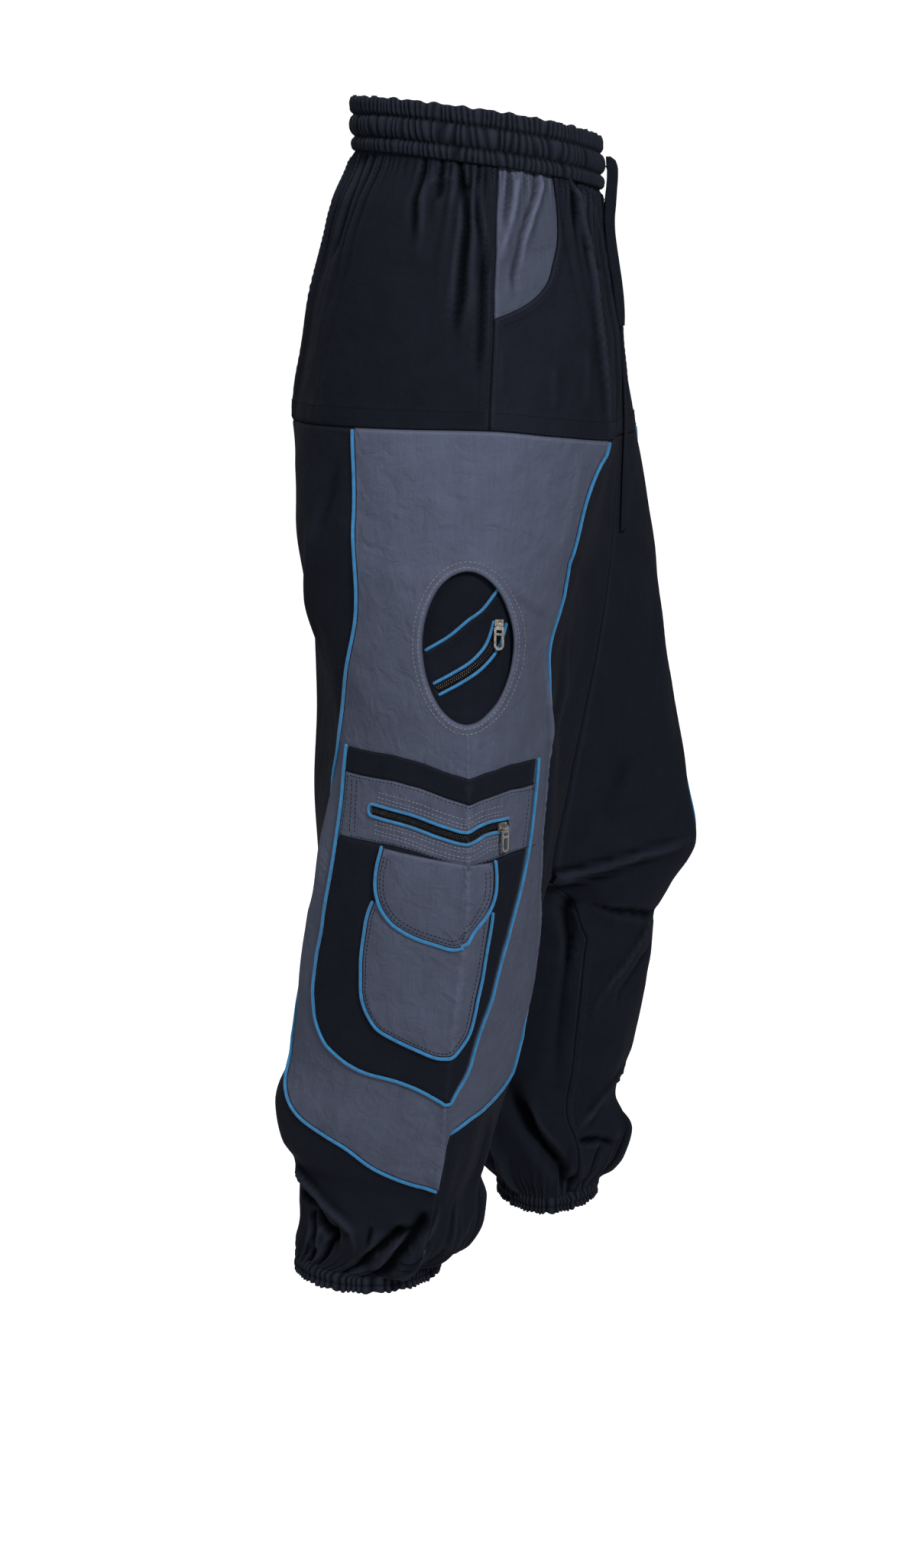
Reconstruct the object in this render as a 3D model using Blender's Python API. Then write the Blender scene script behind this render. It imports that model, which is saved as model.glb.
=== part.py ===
"""Harem pants with a drop crotch, in the hollow form they take when worn.

The wearer faces -Y, the wearer's left is +X and up is +Z. The origin is the middle of the waist.
Sizes in the tables are millimetres. A place on the cloth is given by a ring angle and a height:
0 is the front of a leg, 90 its outer side, 180 its back and -90 (or 270) its inner side. Above the
crotch the cloth of each half runs only from -45, the centre front, to 225, the centre back.
"""
import math

import bmesh
import bpy
import numpy as np
from mathutils import Vector
from mathutils.geometry import delaunay_2d_cdt

MM = 0.001
RIGHT, LEFT = -1, 1

# Cloth and trims
WALL = 1.4
SEAM_GAP = 0.5
CENTRE_GAP = 0.2
CREASE_GAP, INSEAM_GAP = 0.35, 0.5
LAYER_GAP = 0.5
POCKET_WALL = 1.2
PIPING_RADIUS = 1.7
ZIP_PIPING_RADIUS = 1.2
PIPING_CLEARANCE = 0.7
CORD_SLACK = 0.25

# Heights of the main lines, below the middle of the waist
YOKE_TOP = -22.8
TILT_ENDS = -245.0
CROTCH = -680.0
ARCH_DEPTH = 70.0
ANKLE_TOP = {RIGHT: -1020.0, LEFT: -1031.0}
ANKLE_HEIGHT = 17.0

# The waist is worn lower in front: how far it rises from its middle, by place from front to back
WAIST_RISE = ((-130, -29), (-83, -18.4), (-35, -10.6), (0, -5.8), (51, 1.3), (110, 9))

# How round the cloth is between a leg and the centre seam, and inside a leg
CENTRE_CURVE = 1.7
INNER_ROUND = 1.7

# Seams of the right half by ring angle
SIDE_SEAM = 74.0
CREASE = 90.0
CENTRE_FRONT, CENTRE_BACK = -45.0, 225.0

# The inside leg seams: height and ring angle. The left one has turned to the front.
INSEAM = {RIGHT: ((-680, -90), (-860, -90), (-1040, -90)),
          LEFT: ((-680, -58), (-709, -62), (-741, -66), (-838, -66), (-923, -63), (-980, -58), (-1035, -52))}

# The yokes' hem: ring angle and height
YOKE_HEM = ((-45, -262), (-20, -262), (12, -260), (49, -252), (75, -246), (90, -245), (225, -245))

HEM_POINTS = (-45, -33, -21, -9, 2, 12, 25, 37, 49, 62, 74, 82, 90, 100, 111, 122, 135, 148, 161, 174,
              187, 200, 212, 225)

# Facets: about how far apart the points of a panel are, and the cloth that one degree of ring spans
LEG_FACET, PANEL_FACET, YOKE_FACET, SEAM_STEP = 40.0, 33.0, 36.0, 28.0
DEGREE = 2.2

# The centre seams: height, then how far forward and back they lie
CENTRE_COLUMNS = ("z", "front_y", "back_y")
CENTRE_ROWS = (
    (22, -107, 106), (-22, -109, 104), (-68, -112, 121), (-110, -119, 133), (-173, -129, 146),
    (-245, -130, 157), (-323, -127, 160), (-381, -123, 157), (-451, -114, 153), (-511, -103, 152),
    (-595, -87, 156), (-680, -73, 152), (-760, -73, 152),
)

# One row for each level: the foremost, outermost and rearmost points of that half, how far its inner
# side is from the centre, and how round the front and the back are (2 is an ellipse, 1 a flat face)
SECTION_COLUMNS = ("z", "front_x", "front_y", "side_x", "side_y", "back_x", "back_y",
                   "inner_x", "front_round", "back_round")
HIP_ROWS = (
    (22, 35, -104, 130, -4, 35, 103, 0, 2.0, 2.0),
    (-22, 35, -106, 130, -4, 35, 101, 0, 2.0, 2.0),
    (-68, 42, -110, 147, -3, 42, 118, 0, 2.0, 2.0),
    (-124, 50, -119, 166, 0, 48, 132, 0, 2.0, 2.0),
    (-173, 56, -127, 179, 2, 52, 142, 0, 2.0, 2.0),
)
SECTIONS = {
    RIGHT: HIP_ROWS + (
        (-245, 62, -129, 193, 5, 56, 153, 0, 2.0, 2.0),
        (-323, 80, -115, 205, 0, 68, 152, 0, 1.9, 2.0),
        (-381, 95, -100, 213, -8, 88, 142, 0, 1.75, 1.9),
        (-451, 112, -84, 219, -15, 120, 122, 0, 1.6, 1.7),
        (-517, 122, -80, 223, -20, 140, 107, 0, 1.4, 1.5),
        (-624, 122, -75, 227, -20, 150, 125, 0, 1.35, 1.45),
        (-735, 116, -66, 224, -10, 125, 147, 28, 1.4, 1.5),
        (-821, 112, -51, 218, 0, 116, 157, 26, 1.45, 1.6),
        (-872, 110, -36, 211, 3, 112, 176, 28, 1.5, 1.7),
        (-905, 109, -26, 203, 8, 111, 171, 32, 1.6, 1.8),
        (-930, 108, -18, 196, 12, 110, 154, 36, 1.7, 1.8),
        (-979, 106, -13, 190, 25, 108, 153, 36, 2.0, 2.0),
        (-1010, 104, 3, 172, 60, 106, 157, 44, 2.0, 2.0),
        (-1024, 104, 23, 164, 91, 104, 158, 48, 2.0, 2.0),
        (-1045, 104, 23, 164, 91, 104, 158, 48, 2.0, 2.0),
    ),
    LEFT: HIP_ROWS + (
        (-245, 72, -139, 193, -5, 56, 153, 0, 2.0, 2.0),
        (-313, 88, -150, 205, -15, 64, 153, 0, 1.9, 2.0),
        (-377, 100, -160, 212, -30, 72, 151, 0, 1.8, 1.9),
        (-490, 108, -176, 220, -60, 80, 149, 0, 1.6, 1.7),
        (-600, 112, -196, 223, -80, 84, 140, 0, 1.5, 1.6),
        (-668, 113, -208, 224, -84, 90, 120, 0, 1.5, 1.6),
        (-713, 113, -183, 222, -80, 104, 70, 24, 1.5, 1.6),
        (-747, 113, -168, 220, -72, 110, 45, 27, 1.5, 1.6),
        (-797, 113, -163, 217, -66, 113, 38, 26, 1.5, 1.6),
        (-879, 113, -151, 209, -60, 113, 34, 28, 1.6, 1.7),
        (-936, 113, -131, 200, -56, 113, 28, 32, 1.8, 1.8),
        (-972, 113, -142, 198, -60, 113, 24, 32, 2.0, 2.0),
        (-1003, 113, -133, 190, -62, 113, 12, 38, 2.0, 2.0),
        (-1030, 113, -115, 170, -62, 113, -10, 52, 2.0, 2.0),
        (-1060, 113, -110, 164, -62, 113, -14, 56, 2.0, 2.0),
    ),
}

# Large folds: a line on the cloth, how wide each side of it is drawn in, and how far it moves the cloth
FOLD_COLUMNS = ("side", "phi_top", "z_top", "phi_low", "z_low", "half_width", "out", "back")
FOLDS = (
    (RIGHT, -14, -530, -14, -650, 34, 0, 9),
    (RIGHT, 192, -565, 192, -655, 22, 0, -9),
)

# The U-shaped side panel's front and back seams, each from the yoke down to the crease's lower end
FRONT_SEAM = ((12, -260), (19, -284), (24, -321), (24, -360), (19.5, -400), (18, -440), (11, -475),
              (-3, -515), (-8, -560), (-10, -610), (-11, -660), (-11, -710), (-10, -745), (-4, -785),
              (8, -818), (24, -836), (45, -844), (62, -849), (76, -858), (83, -872), (87, -893), (90, -915))
BACK_SEAM = ((122, -245), (122, -283), (123, -321), (125, -357), (130, -400), (140, -440), (152, -476),
             (166, -515), (180, -556), (187, -600), (189, -650), (188.5, -690), (186, -740), (181, -790),
             (173, -828), (160, -853), (142, -872), (126, -884), (113, -902), (102, -911), (90, -915))
LEFT_FRONT_SEAM = ((12, -260), (19, -284), (24, -321), (24, -360), (19.5, -400), (18, -440), (15, -475),
                   (13, -515), (12, -560), (12, -610), (12, -660), (12, -710), (12, -745), (14, -785),
                   (20, -818), (32, -836), (48, -844), (62, -849), (76, -858), (83, -872), (87, -893), (90, -915))

# The curved hand pocket in the front yoke: ring angle of its edge at each height
POCKET_MOUTH = ((-22, 45), (-49, 43), (-82, 44), (-100, 47), (-116, 50), (-130, 56), (-139, 62),
                (-145, 67), (-152, 74))
FACING_LAP = 9.0
FACING_GAP = 1.9

# Outlines on the right side, as seen square on from the side: how far back, and the height
OVAL_HOLE = {"y": -16.5, "z": -423.5, "half_width": 37.5, "half_height": 63.5}
CARGO_REAR = ((93, -519), (100, -573), (110, -636), (118, -678), (126, -720), (129, -755),
              (127, -777), (119, -790), (104, -801), (80, -808), (48, -810), (23, -816), (6, -824))
CARGO_FRONT = ((-2, -827), (-8, -818), (-17, -802), (-22, -786), (-28, -765), (-37, -737),
               (-44, -710), (-52, -676), (-60, -640), (-66, -600), (-70, -560), (-73, -530))
STRIP_TOP = ((93, -519), (48, -519), (24, -522), (0, -528), (-20, -532), (-36, -529), (-54, -527), (-73, -530))
STRIP_DEPTH = 22.0
ZIP_PANEL_DEPTH = 78.0
FLAP = ((58, -599), (63, -620), (63, -640), (59, -652), (50, -664), (36, -672), (10, -679),
        (-11, -681), (-18, -677), (-24, -668), (-35, -654), (-41, -641), (-43, -622), (-42, -607))
PATCH = ((64, -644), (70, -657), (75, -680), (79, -717), (79, -738), (74, -753), (65, -764),
         (51, -770), (23, -778), (3, -782), (-6, -780), (-13, -773), (-20, -761), (-24, -745),
         (-27, -728), (-31, -708), (-35, -685), (-38, -664), (-40, -648))
PATCH_PIPING_ENDS = (7.0, 8.0)
ZIP_LINE = ((67, -569), (33, -573), (2, -580), (-19, -583), (-33, -578), (-51, -578))
SLIDER_AT = (-42, -578)
ZIP_HALF_GAP = 5.2
ZIP_TAPE_HALF = 3.4
TAPE_GAP = 0.35

# Behind the oval hole: a dished backing, a pocket on it with a piped top edge, and a zip across that
BAG_MARGIN = 11.0
BAG_DEPTH = 12.0
BAG_GAP = 0.9
BAG_SPOKES = 20
BAG_RINGS = (0.4, 0.75, 1.0)
INNER_EDGE = ((19, -427), (-2, -414), (-16, -402), (-28, -393), (-35, -384), (-42, -374))
INNER_ZIP_LINE = ((9, -459), (-9, -449), (-25, -438), (-35, -426), (-40, -413), (-42, -405))

# Zip pulls: a slider with two ears and a pin, and a looped tab that hangs on the pin
SLIDER = {"length": 9.0, "inner_length": 7.0, "height": 7.0, "thick": 2.2}
EAR = {"wide": 1.2, "reach": 3.2, "tall": 3.0, "apart": 4.6}
PIN_RADIUS = 0.6
TAB = {"length": 22.0, "wide": 8.4, "thick": 1.3, "rim": 1.9, "bar_at": 8.5, "eye_out": 1.8, "eye_in": 1.0,
       "eye_wide": 3.6, "corner_steps": 5}

# The drawstring: the near end hangs free, x, y, z and how far its flat side has turned to the front.
# The far end lies down the left front, by distance from the centre front and height.
TAPE_WIDE = 10.0
TAPE_THICK = 1.2
TAPE_LIFT = 2.4
NEAR_END = ((-2, -114.2, -25, 0), (-2, -117.4, -25, 0), (-2, -119.5, -29, 0), (-2, -120, -36, 0),
            (-2, -118.6, -48, 15), (-1.5, -117.4, -60, 40), (-1, -116.6, -72, 55), (1, -117, -84, 55),
            (4, -118.8, -97, 50), (6, -121.4, -112, 45), (7, -124.4, -128, 45), (7, -127, -143, 50),
            (7, -129.2, -158, 60), (7, -130.4, -166, 70))
FAR_EXIT = ((17, -111.5, -27), (17, -115, -29), (17.5, -115, -38), (17.5, -113.5, -52))
FAR_END = ((18, -58), (18, -80), (18, -115), (17, -150), (14, -185), (11, -220), (11, -255), (11, -290),
           (12, -320), (13, -350))

COLOURS = {
    "black": (0.011, 0.013, 0.019, 1.0),
    "grey": (0.063, 0.072, 0.110, 1.0),
    "blue": (0.055, 0.250, 0.480, 1.0),
    "teeth": (0.060, 0.050, 0.040, 1.0),
    "steel": (0.320, 0.300, 0.270, 1.0),
}


def smooth_rows(rows, at):
    """Values of a table's later columns where its first column is `at`, without overshoot."""
    table = np.array(sorted(rows), float)
    keys, values = table[:, 0], table[:, 1:]
    at = np.clip(np.asarray(at, float), keys[0], keys[-1])
    steps = np.diff(keys)
    slopes = np.diff(values, axis=0) / steps[:, None]
    tangents = np.zeros_like(values)
    same_way = slopes[:-1] * slopes[1:] > 0
    both = np.where(same_way, slopes[:-1] + slopes[1:], 1.0)
    tangents[1:-1] = np.where(same_way, 2 * slopes[:-1] * slopes[1:] / both, 0.0)
    tangents[0], tangents[-1] = slopes[0], slopes[-1]
    index = np.clip(np.searchsorted(keys, at) - 1, 0, len(keys) - 2)
    part = ((at - keys[index]) / steps[index])[..., None]
    step = steps[index][..., None]
    return (values[index] * (2 * part**3 - 3 * part**2 + 1)
            + tangents[index] * step * (part**3 - 2 * part**2 + part)
            + values[index + 1] * (3 * part**2 - 2 * part**3)
            + tangents[index + 1] * step * (part**3 - part**2))


def arc(start, end, middle, sine, cosine, roundness):
    """A quarter of a superellipse from `start` (x, y) to `end`, about the corner `middle`."""
    power = 2 / roundness
    x = middle[0] + (end[0] - middle[0]) * sine**power
    y = middle[1] + (start[1] - middle[1]) * cosine**power
    return x, y


def line_distance(across, along, top, low):
    """How far places in a plane are from a straight line between two points."""
    run = np.subtract(low, top)
    part = np.clip(((across - top[0]) * run[0] + (along - top[1]) * run[1]) / (run @ run), 0, 1)
    return np.hypot(across - top[0] - part * run[0], along - top[1] - part * run[1])


def skin(side, phi, z):
    """The outer face of the cloth on one half, at ring angle `phi` and height `z`."""
    phi, z = np.broadcast_arrays(np.asarray(phi, float), np.asarray(z, float))
    front_x, front_y, side_x, side_y, back_x, back_y, inner_x, front_round, back_round = np.moveaxis(
        smooth_rows(SECTIONS[side], z), -1, 0)
    centre_front, centre_back = np.moveaxis(smooth_rows(CENTRE_ROWS, z), -1, 0)
    crotch_middle = (centre_front + centre_back) / 2
    phi = np.where(phi > 270.001, phi - 360, np.where(phi < -90.001, phi + 360, phi))
    sine, cosine = np.abs(np.sin(np.radians(phi))), np.abs(np.cos(np.radians(phi)))
    leg = np.sqrt(np.clip((CROTCH - z) / ARCH_DEPTH, 0, 1))

    front = arc((front_x, front_y), (side_x, side_y), (front_x, side_y), sine, cosine, front_round)
    back = arc((back_x, back_y), (side_x, side_y), (back_x, side_y), sine, cosine, back_round)
    places = []
    for start, seam_y, turn in (((front_x, front_y), centre_front, -phi), ((back_x, back_y), centre_back, phi - 180)):
        reach = np.clip(turn / 45, 0, 1)
        beyond = np.clip((turn - 45) / 45, 0, 1)
        trunk_x = start[0] * (1 - reach)
        trunk_y = start[1] + (seam_y - start[1]) * reach**CENTRE_CURVE + (crotch_middle - seam_y) * beyond
        leg_x, leg_y = arc(start, (inner_x, side_y), (start[0], side_y), sine, cosine, INNER_ROUND)
        places.append((trunk_x * (1 - leg) + leg_x * leg, trunk_y * (1 - leg) + leg_y * leg))
    zones = [phi < 0, phi <= 90, phi <= 180]
    x = np.select(zones, [places[0][0], front[0], back[0]], places[1][0])
    y = np.select(zones, [places[0][1], front[1], back[1]], places[1][1])
    for fold_side, phi_top, z_top, phi_low, z_low, half_width, out, back_by in FOLDS:
        if fold_side == side:
            near = line_distance(phi * DEGREE, z, (phi_top * DEGREE, z_top), (phi_low * DEGREE, z_low))
            part = np.exp(-((near / half_width) ** 2))
            x, y = x + out * part, y + back_by * part
    tilted = np.clip((z - TILT_ENDS) / (YOKE_TOP - TILT_ENDS), 0, 1)
    return np.stack([side * (x + CENTRE_GAP), y, z + smooth_rows(WAIST_RISE, y)[..., 0] * tilted], -1)


def outward(side, phi, z):
    """The direction straight out of the cloth at a place on it."""
    phi, z = np.broadcast_arrays(np.asarray(phi, float), np.asarray(z, float))
    low = np.where(z >= CROTCH, CENTRE_FRONT, -180)
    high = np.where(z >= CROTCH, CENTRE_BACK, 360)
    across = skin(side, np.minimum(phi + 1.5, high), z) - skin(side, np.maximum(phi - 1.5, low), z)
    along = skin(side, phi, z + 2) - skin(side, phi, z - 2)
    normal = np.cross(across, along) * side
    on_centre = (z >= CROTCH - 0.3) & ((phi <= CENTRE_FRONT + 0.2) | (phi >= CENTRE_BACK - 0.2))
    normal[..., 0] = np.where(on_centre, 0, normal[..., 0])
    normal[on_centre & (z <= CROTCH + 0.3)] = (0, 0, -1)
    normal[..., 2] = np.where(z < ANKLE_TOP[side] + 1, 0, normal[..., 2])
    return normal / np.linalg.norm(normal, axis=-1, keepdims=True)


def lifted(side, phi, z, height):
    """Points that stand `height` off the cloth."""
    return skin(side, phi, z) + outward(side, phi, z) * height


def ring_angle(side, y, z):
    """The ring angle on the outer side of a half where the cloth lies at `y`."""
    angles = np.linspace(4, 176, 345)
    y, z = np.broadcast_arrays(np.asarray(y, float), np.asarray(z, float))
    found = [np.interp(a, np.maximum.accumulate(skin(side, angles, np.full_like(angles, b))[:, 1]), angles)
             for a, b in zip(y.ravel(), z.ravel())]
    return np.array(found).reshape(y.shape)


def material(name):
    found = bpy.data.materials.get(name)
    if found:
        return found
    made = bpy.data.materials.new(name)
    made.use_nodes = True
    shader = made.node_tree.nodes["Principled BSDF"]
    metal = name.split("_")[0] in ("steel", "teeth")
    shader.inputs["Base Color"].default_value = COLOURS[name.split("_")[0]]
    shader.inputs["Roughness"].default_value = 0.35 if metal else 0.85
    shader.inputs["Metallic"].default_value = 1.0 if metal else 0.0
    return made


def add_object(name, data, colour):
    piece = bpy.data.objects.new(name, data)
    bpy.context.scene.collection.objects.link(piece)
    data.materials.append(material(f"{colour}_{name}"))
    return piece


def add_mesh(name, points, faces, colour):
    """A closed mesh from points in millimetres, with its faces turned outward."""
    made = bmesh.new()
    corners = [made.verts.new(Vector(point) * MM) for point in points]
    for face in faces:
        made.faces.new([corners[index] for index in face])
    return finished(name, made, colour)


def finished(name, made, colour):
    """Turn a mesh's faces outward and make it an object."""
    bmesh.ops.recalc_face_normals(made, faces=made.faces)
    if made.calc_volume(signed=True) < 0:
        bmesh.ops.reverse_faces(made, faces=made.faces)
    data = bpy.data.meshes.new(name)
    made.to_mesh(data)
    made.free()
    return add_object(name, data, colour)


def inside(points, outline):
    """Which points of a plane lie within a closed outline."""
    found = np.zeros(len(points), bool)
    for (x0, y0), (x1, y1) in zip(outline, np.roll(outline, -1, 0)):
        crosses = (y0 > points[:, 1]) != (y1 > points[:, 1])
        if y0 != y1:
            found ^= crosses & (points[:, 0] < x0 + (points[:, 1] - y0) * (x1 - x0) / (y1 - y0))
    return found


def facets(outline, size, crease=()):
    """Ring angles, heights and triangles that cover an outline on the cloth, with an edge along a crease."""
    scale = np.array((DEGREE, 1.0))
    edge = np.asarray(outline, float) * scale
    fold = np.asarray(crease, float).reshape(-1, 2) * scale
    lattice = []
    for k, v in enumerate(np.arange(edge[:, 1].min(), edge[:, 1].max(), 0.87 * size)):
        for u in np.arange(edge[:, 0].min() + (k % 2) * size / 2, edge[:, 0].max(), size):
            lattice.append((u, v))
    lattice = np.array(lattice)
    lattice = lattice[inside(lattice, edge)]
    lines = list(zip(edge, np.roll(edge, -1, 0))) + list(zip(fold, fold[1:]))
    for start, end in lines:
        lattice = lattice[line_distance(lattice[:, 0], lattice[:, 1], start, end) > 0.55 * size]
    first = len(edge)
    spots = [Vector(spot) for spot in np.concatenate([edge, fold, lattice])]
    loops = [(k, (k + 1) % first) for k in range(first)]
    loops += [(first + k, first + k + 1) for k in range(len(fold) - 1)]
    places, _, triangles, *_ = delaunay_2d_cdt(spots, loops, [], 1, 1e-5)
    return np.array([tuple(place) for place in places]) / scale, [tuple(corner) for corner in triangles]


def closed(name, outer, inner, triangles, colour):
    """A cloth wall between two sets of points that share their triangles."""
    half = len(outer)
    faces, edges = [], {}
    for a, b, c in triangles:
        faces += [(a, b, c), (c + half, b + half, a + half)]
        for start, end in ((a, b), (b, c), (c, a)):
            if edges.pop((end, start), None) is None:
                edges[start, end] = True
    for a, b in edges:
        faces += [(b, a, a + half), (b, a + half, b + half)]
    return add_mesh(name, np.concatenate([outer, inner]), faces, colour)


def cloth(name, side, covering, colour, height=0.0, wall=WALL):
    """A panel whose outer face stands `height` off the body of the garment."""
    places, triangles = covering
    phi, z = places.T
    return closed(name, lifted(side, phi, z, height), lifted(side, phi, z, height - wall), triangles, colour)


def ring(name, side_points, colour):
    """A closed band from a loop of profile points round a ring: an array of ring, profile, xyz."""
    around, profile = side_points.shape[:2]
    faces = []
    for i in range(around):
        for j in range(profile):
            a, b = i * profile + j, i * profile + (j + 1) % profile
            c = ((i + 1) % around) * profile + (j + 1) % profile
            faces.append((a, b, c, ((i + 1) % around) * profile + j))
    return add_mesh(name, side_points.reshape(-1, 3), faces, colour)


def tube(name, points, radius, colour, resolution=2):
    """A piping: a curve through the points, with a round section and filled ends."""
    data = bpy.data.curves.new(name, "CURVE")
    data.dimensions = "3D"
    data.bevel_depth = radius * MM
    data.bevel_resolution = resolution
    data.use_fill_caps = True
    line = data.splines.new("POLY")
    line.points.add(len(points) - 1)
    for spot, point in zip(line.points, points):
        spot.co = (*(Vector(point) * MM), 1.0)
    return add_object(name, data, colour)


def strip(name, path, face, wide, thick, colour):
    """A flat tape that follows a path, its flat side towards `face`."""
    path = np.asarray(path, float)
    along = np.gradient(path, axis=0)
    along /= np.linalg.norm(along, axis=1, keepdims=True)
    width = np.cross(face, along)
    width /= np.linalg.norm(width, axis=1, keepdims=True)
    out = np.cross(along, width)
    profile = [path + width * wide / 2 * a + out * thick / 2 * b for a, b in ((-1, -1), (1, -1), (1, 1), (-1, 1))]
    points = np.stack(profile, 1).reshape(-1, 3)
    faces = [(3, 2, 1, 0), tuple(len(points) - 4 + k for k in range(4))]
    for i in range(len(path) - 1):
        for k in range(4):
            a, b = 4 * i + k, 4 * i + (k + 1) % 4
            faces.append((a, b, b + 4, a + 4))
    return add_mesh(name, points, faces, colour)


def through(points, count, spread=None):
    """A smooth line of `count` points, evenly spaced, through a short list of points."""
    points = np.asarray(points, float)
    place = points[:, :spread]
    runs = np.concatenate([[0], np.cumsum(np.linalg.norm(np.diff(place, axis=0), axis=1))])
    tangents = np.gradient(points, runs, axis=0)
    at = np.linspace(0, runs[-1], count)
    index = np.clip(np.searchsorted(runs, at) - 1, 0, len(runs) - 2)
    step = (runs[index + 1] - runs[index])[:, None]
    part = ((at - runs[index])[:, None]) / step
    return (points[index] * (2 * part**3 - 3 * part**2 + 1)
            + tangents[index] * step * (part**3 - 2 * part**2 + part)
            + points[index + 1] * (3 * part**2 - 2 * part**3)
            + tangents[index + 1] * step * (part**3 - part**2))


def beside(line, distance):
    """A line on the side elevation moved sideways, to the left of its direction."""
    along = np.gradient(line, axis=0)
    along /= np.linalg.norm(along, axis=1, keepdims=True)
    return line + np.stack([-along[:, 1], along[:, 0]], 1) * distance


def slot_line(line, half_width, spare):
    """The outline of a slot about a line, longer than the line by `spare` at each end."""
    ends = [line[0] - line[1], line[-1] - line[-2]]
    longer = line.copy()
    longer[[0, -1]] += [end / np.linalg.norm(end) * spare for end in ends]
    return np.concatenate([beside(longer, half_width), beside(longer, -half_width)[::-1]])


def out_at(points, triangles, y, z):
    """How far along X the outermost facet lies at places on the side elevation."""
    a, b, c = (points[np.array(triangles)[:, k]] for k in range(3))
    turn = (b[:, 1] - a[:, 1]) * (c[:, 2] - a[:, 2]) - (c[:, 1] - a[:, 1]) * (b[:, 2] - a[:, 2])
    a, b, c, turn = (item[np.abs(turn) > 1e-6] for item in (a, b, c, turn))
    y, z = np.asarray(y, float)[..., None], np.asarray(z, float)[..., None]
    to_b = ((y - a[:, 1]) * (c[:, 2] - a[:, 2]) - (c[:, 1] - a[:, 1]) * (z - a[:, 2])) / turn
    to_c = ((b[:, 1] - a[:, 1]) * (z - a[:, 2]) - (y - a[:, 1]) * (b[:, 2] - a[:, 2])) / turn
    x = a[:, 0] + to_b * (b[:, 0] - a[:, 0]) + to_c * (c[:, 0] - a[:, 0])
    hit = (to_b > -1e-6) & (to_c > -1e-6) & (to_b + to_c < 1 + 1e-6)
    return np.where(hit, x, np.inf).min(-1)


def plain_line(points, slack):
    """A line's points without those that lie within `slack` of the line through the rest."""
    keep = np.zeros(len(points), bool)
    keep[[0, -1]] = True
    spans = [(0, len(points) - 1)]
    while spans:
        first, last = spans.pop()
        if last - first < 2:
            continue
        run = points[last] - points[first]
        part = np.clip((points[first:last] - points[first]) @ run / (run @ run), 0, 1)
        off = np.linalg.norm(points[first:last] - points[first] - part[:, None] * run, axis=1)
        far = int(np.argmax(off))
        if off[far] > slack:
            keep[first + far] = True
            spans += [(first, first + far), (first + far, last)]
    return points[keep]


def finely(line, step=2.5):
    """Points each `step` along a line's straight runs, its own points among them."""
    line = np.asarray(line, float)
    parts = [line[:1]]
    for start, end in zip(line, line[1:]):
        count = max(1, int(np.ceil(np.linalg.norm(end - start) / step)))
        parts.append(start + (end - start) * np.linspace(0, 1, count + 1)[1:, None])
    return np.concatenate(parts)


# Body of the garment

def waistband():
    """Three shirred rows: a ruffled top, a wide middle and a narrow bottom row, as (height, bulge)."""
    profile = ((-22.3, 0.8), (-17, 3.4), (-11.5, 1.0), (-2.5, 4.6), (6.5, 1.0), (13, 3.2), (20.5, 2.2),
               (20.5, -1.4), (-22.3, -1.6))
    angles = np.linspace(CENTRE_FRONT, CENTRE_BACK, 19)[:-1]
    heights = np.array([height for height, _ in profile])
    bulges = np.array([bulge for _, bulge in profile])
    right = lifted(RIGHT, angles[:, None], heights[None, :], bulges[None, :, None])
    left_angles = np.linspace(CENTRE_BACK, CENTRE_FRONT, 19)[:-1]
    left = lifted(LEFT, left_angles[:, None], heights[None, :], bulges[None, :, None])
    ring("waistband", np.concatenate([right, left]), "black")


def hem_line(start, end, lift):
    """Points on the yokes' hem between two ring angles, moved up by `lift`."""
    angles = [start] + [angle for angle in HEM_POINTS if min(start, end) < angle < max(start, end)][::1 if end > start else -1] + [end]
    return np.stack([angles, smooth_rows(YOKE_HEM, angles)[:, 0] + lift], 1)


def seam_line(side, line, step, gap=0.0):
    """Points about `step` apart along a seam, moved off it to the left of its run by `gap`."""
    line = np.asarray(line, float) * (DEGREE, 1)
    length = np.linalg.norm(np.diff(line, axis=0), axis=1).sum()
    line = through(line, int(length / step) + 1) / (DEGREE, 1)
    phi, z = line.T
    per_degree = np.linalg.norm(skin(side, phi + 1, z) - skin(side, phi - 1, z), axis=1) / 2
    per_mm = np.linalg.norm(skin(side, phi, z + 2) - skin(side, phi, z - 2), axis=1) / 4
    along = np.gradient(line, axis=0) * np.stack([per_degree, per_mm], 1)
    along /= np.linalg.norm(along, axis=1, keepdims=True)
    return line + np.stack([-along[:, 1] / per_degree, along[:, 0] / per_mm], 1) * gap


def panel_seams(side, gap):
    """The side panel's front and back seams; a positive gap draws both into the panel."""
    front = seam_line(side, LEFT_FRONT_SEAM if side == LEFT else FRONT_SEAM, SEAM_STEP, gap)
    back = seam_line(side, BACK_SEAM, SEAM_STEP, -gap)
    tip = (CREASE, FRONT_SEAM[-1][1] + gap)
    front[-1] = back[-1] = tip
    top = smooth_rows(YOKE_HEM, [front[0, 0], back[0, 0]])[:, 0] - SEAM_GAP / 2
    front[0, 1], back[0, 1] = top
    return front, back


def mouth_line(lift=0.0, inward=0.0):
    line = through(np.array(POCKET_MOUTH)[:, ::-1] * (DEGREE, 1), 9) / (DEGREE, 1)
    return line + (-inward / DEGREE, lift)


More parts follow.
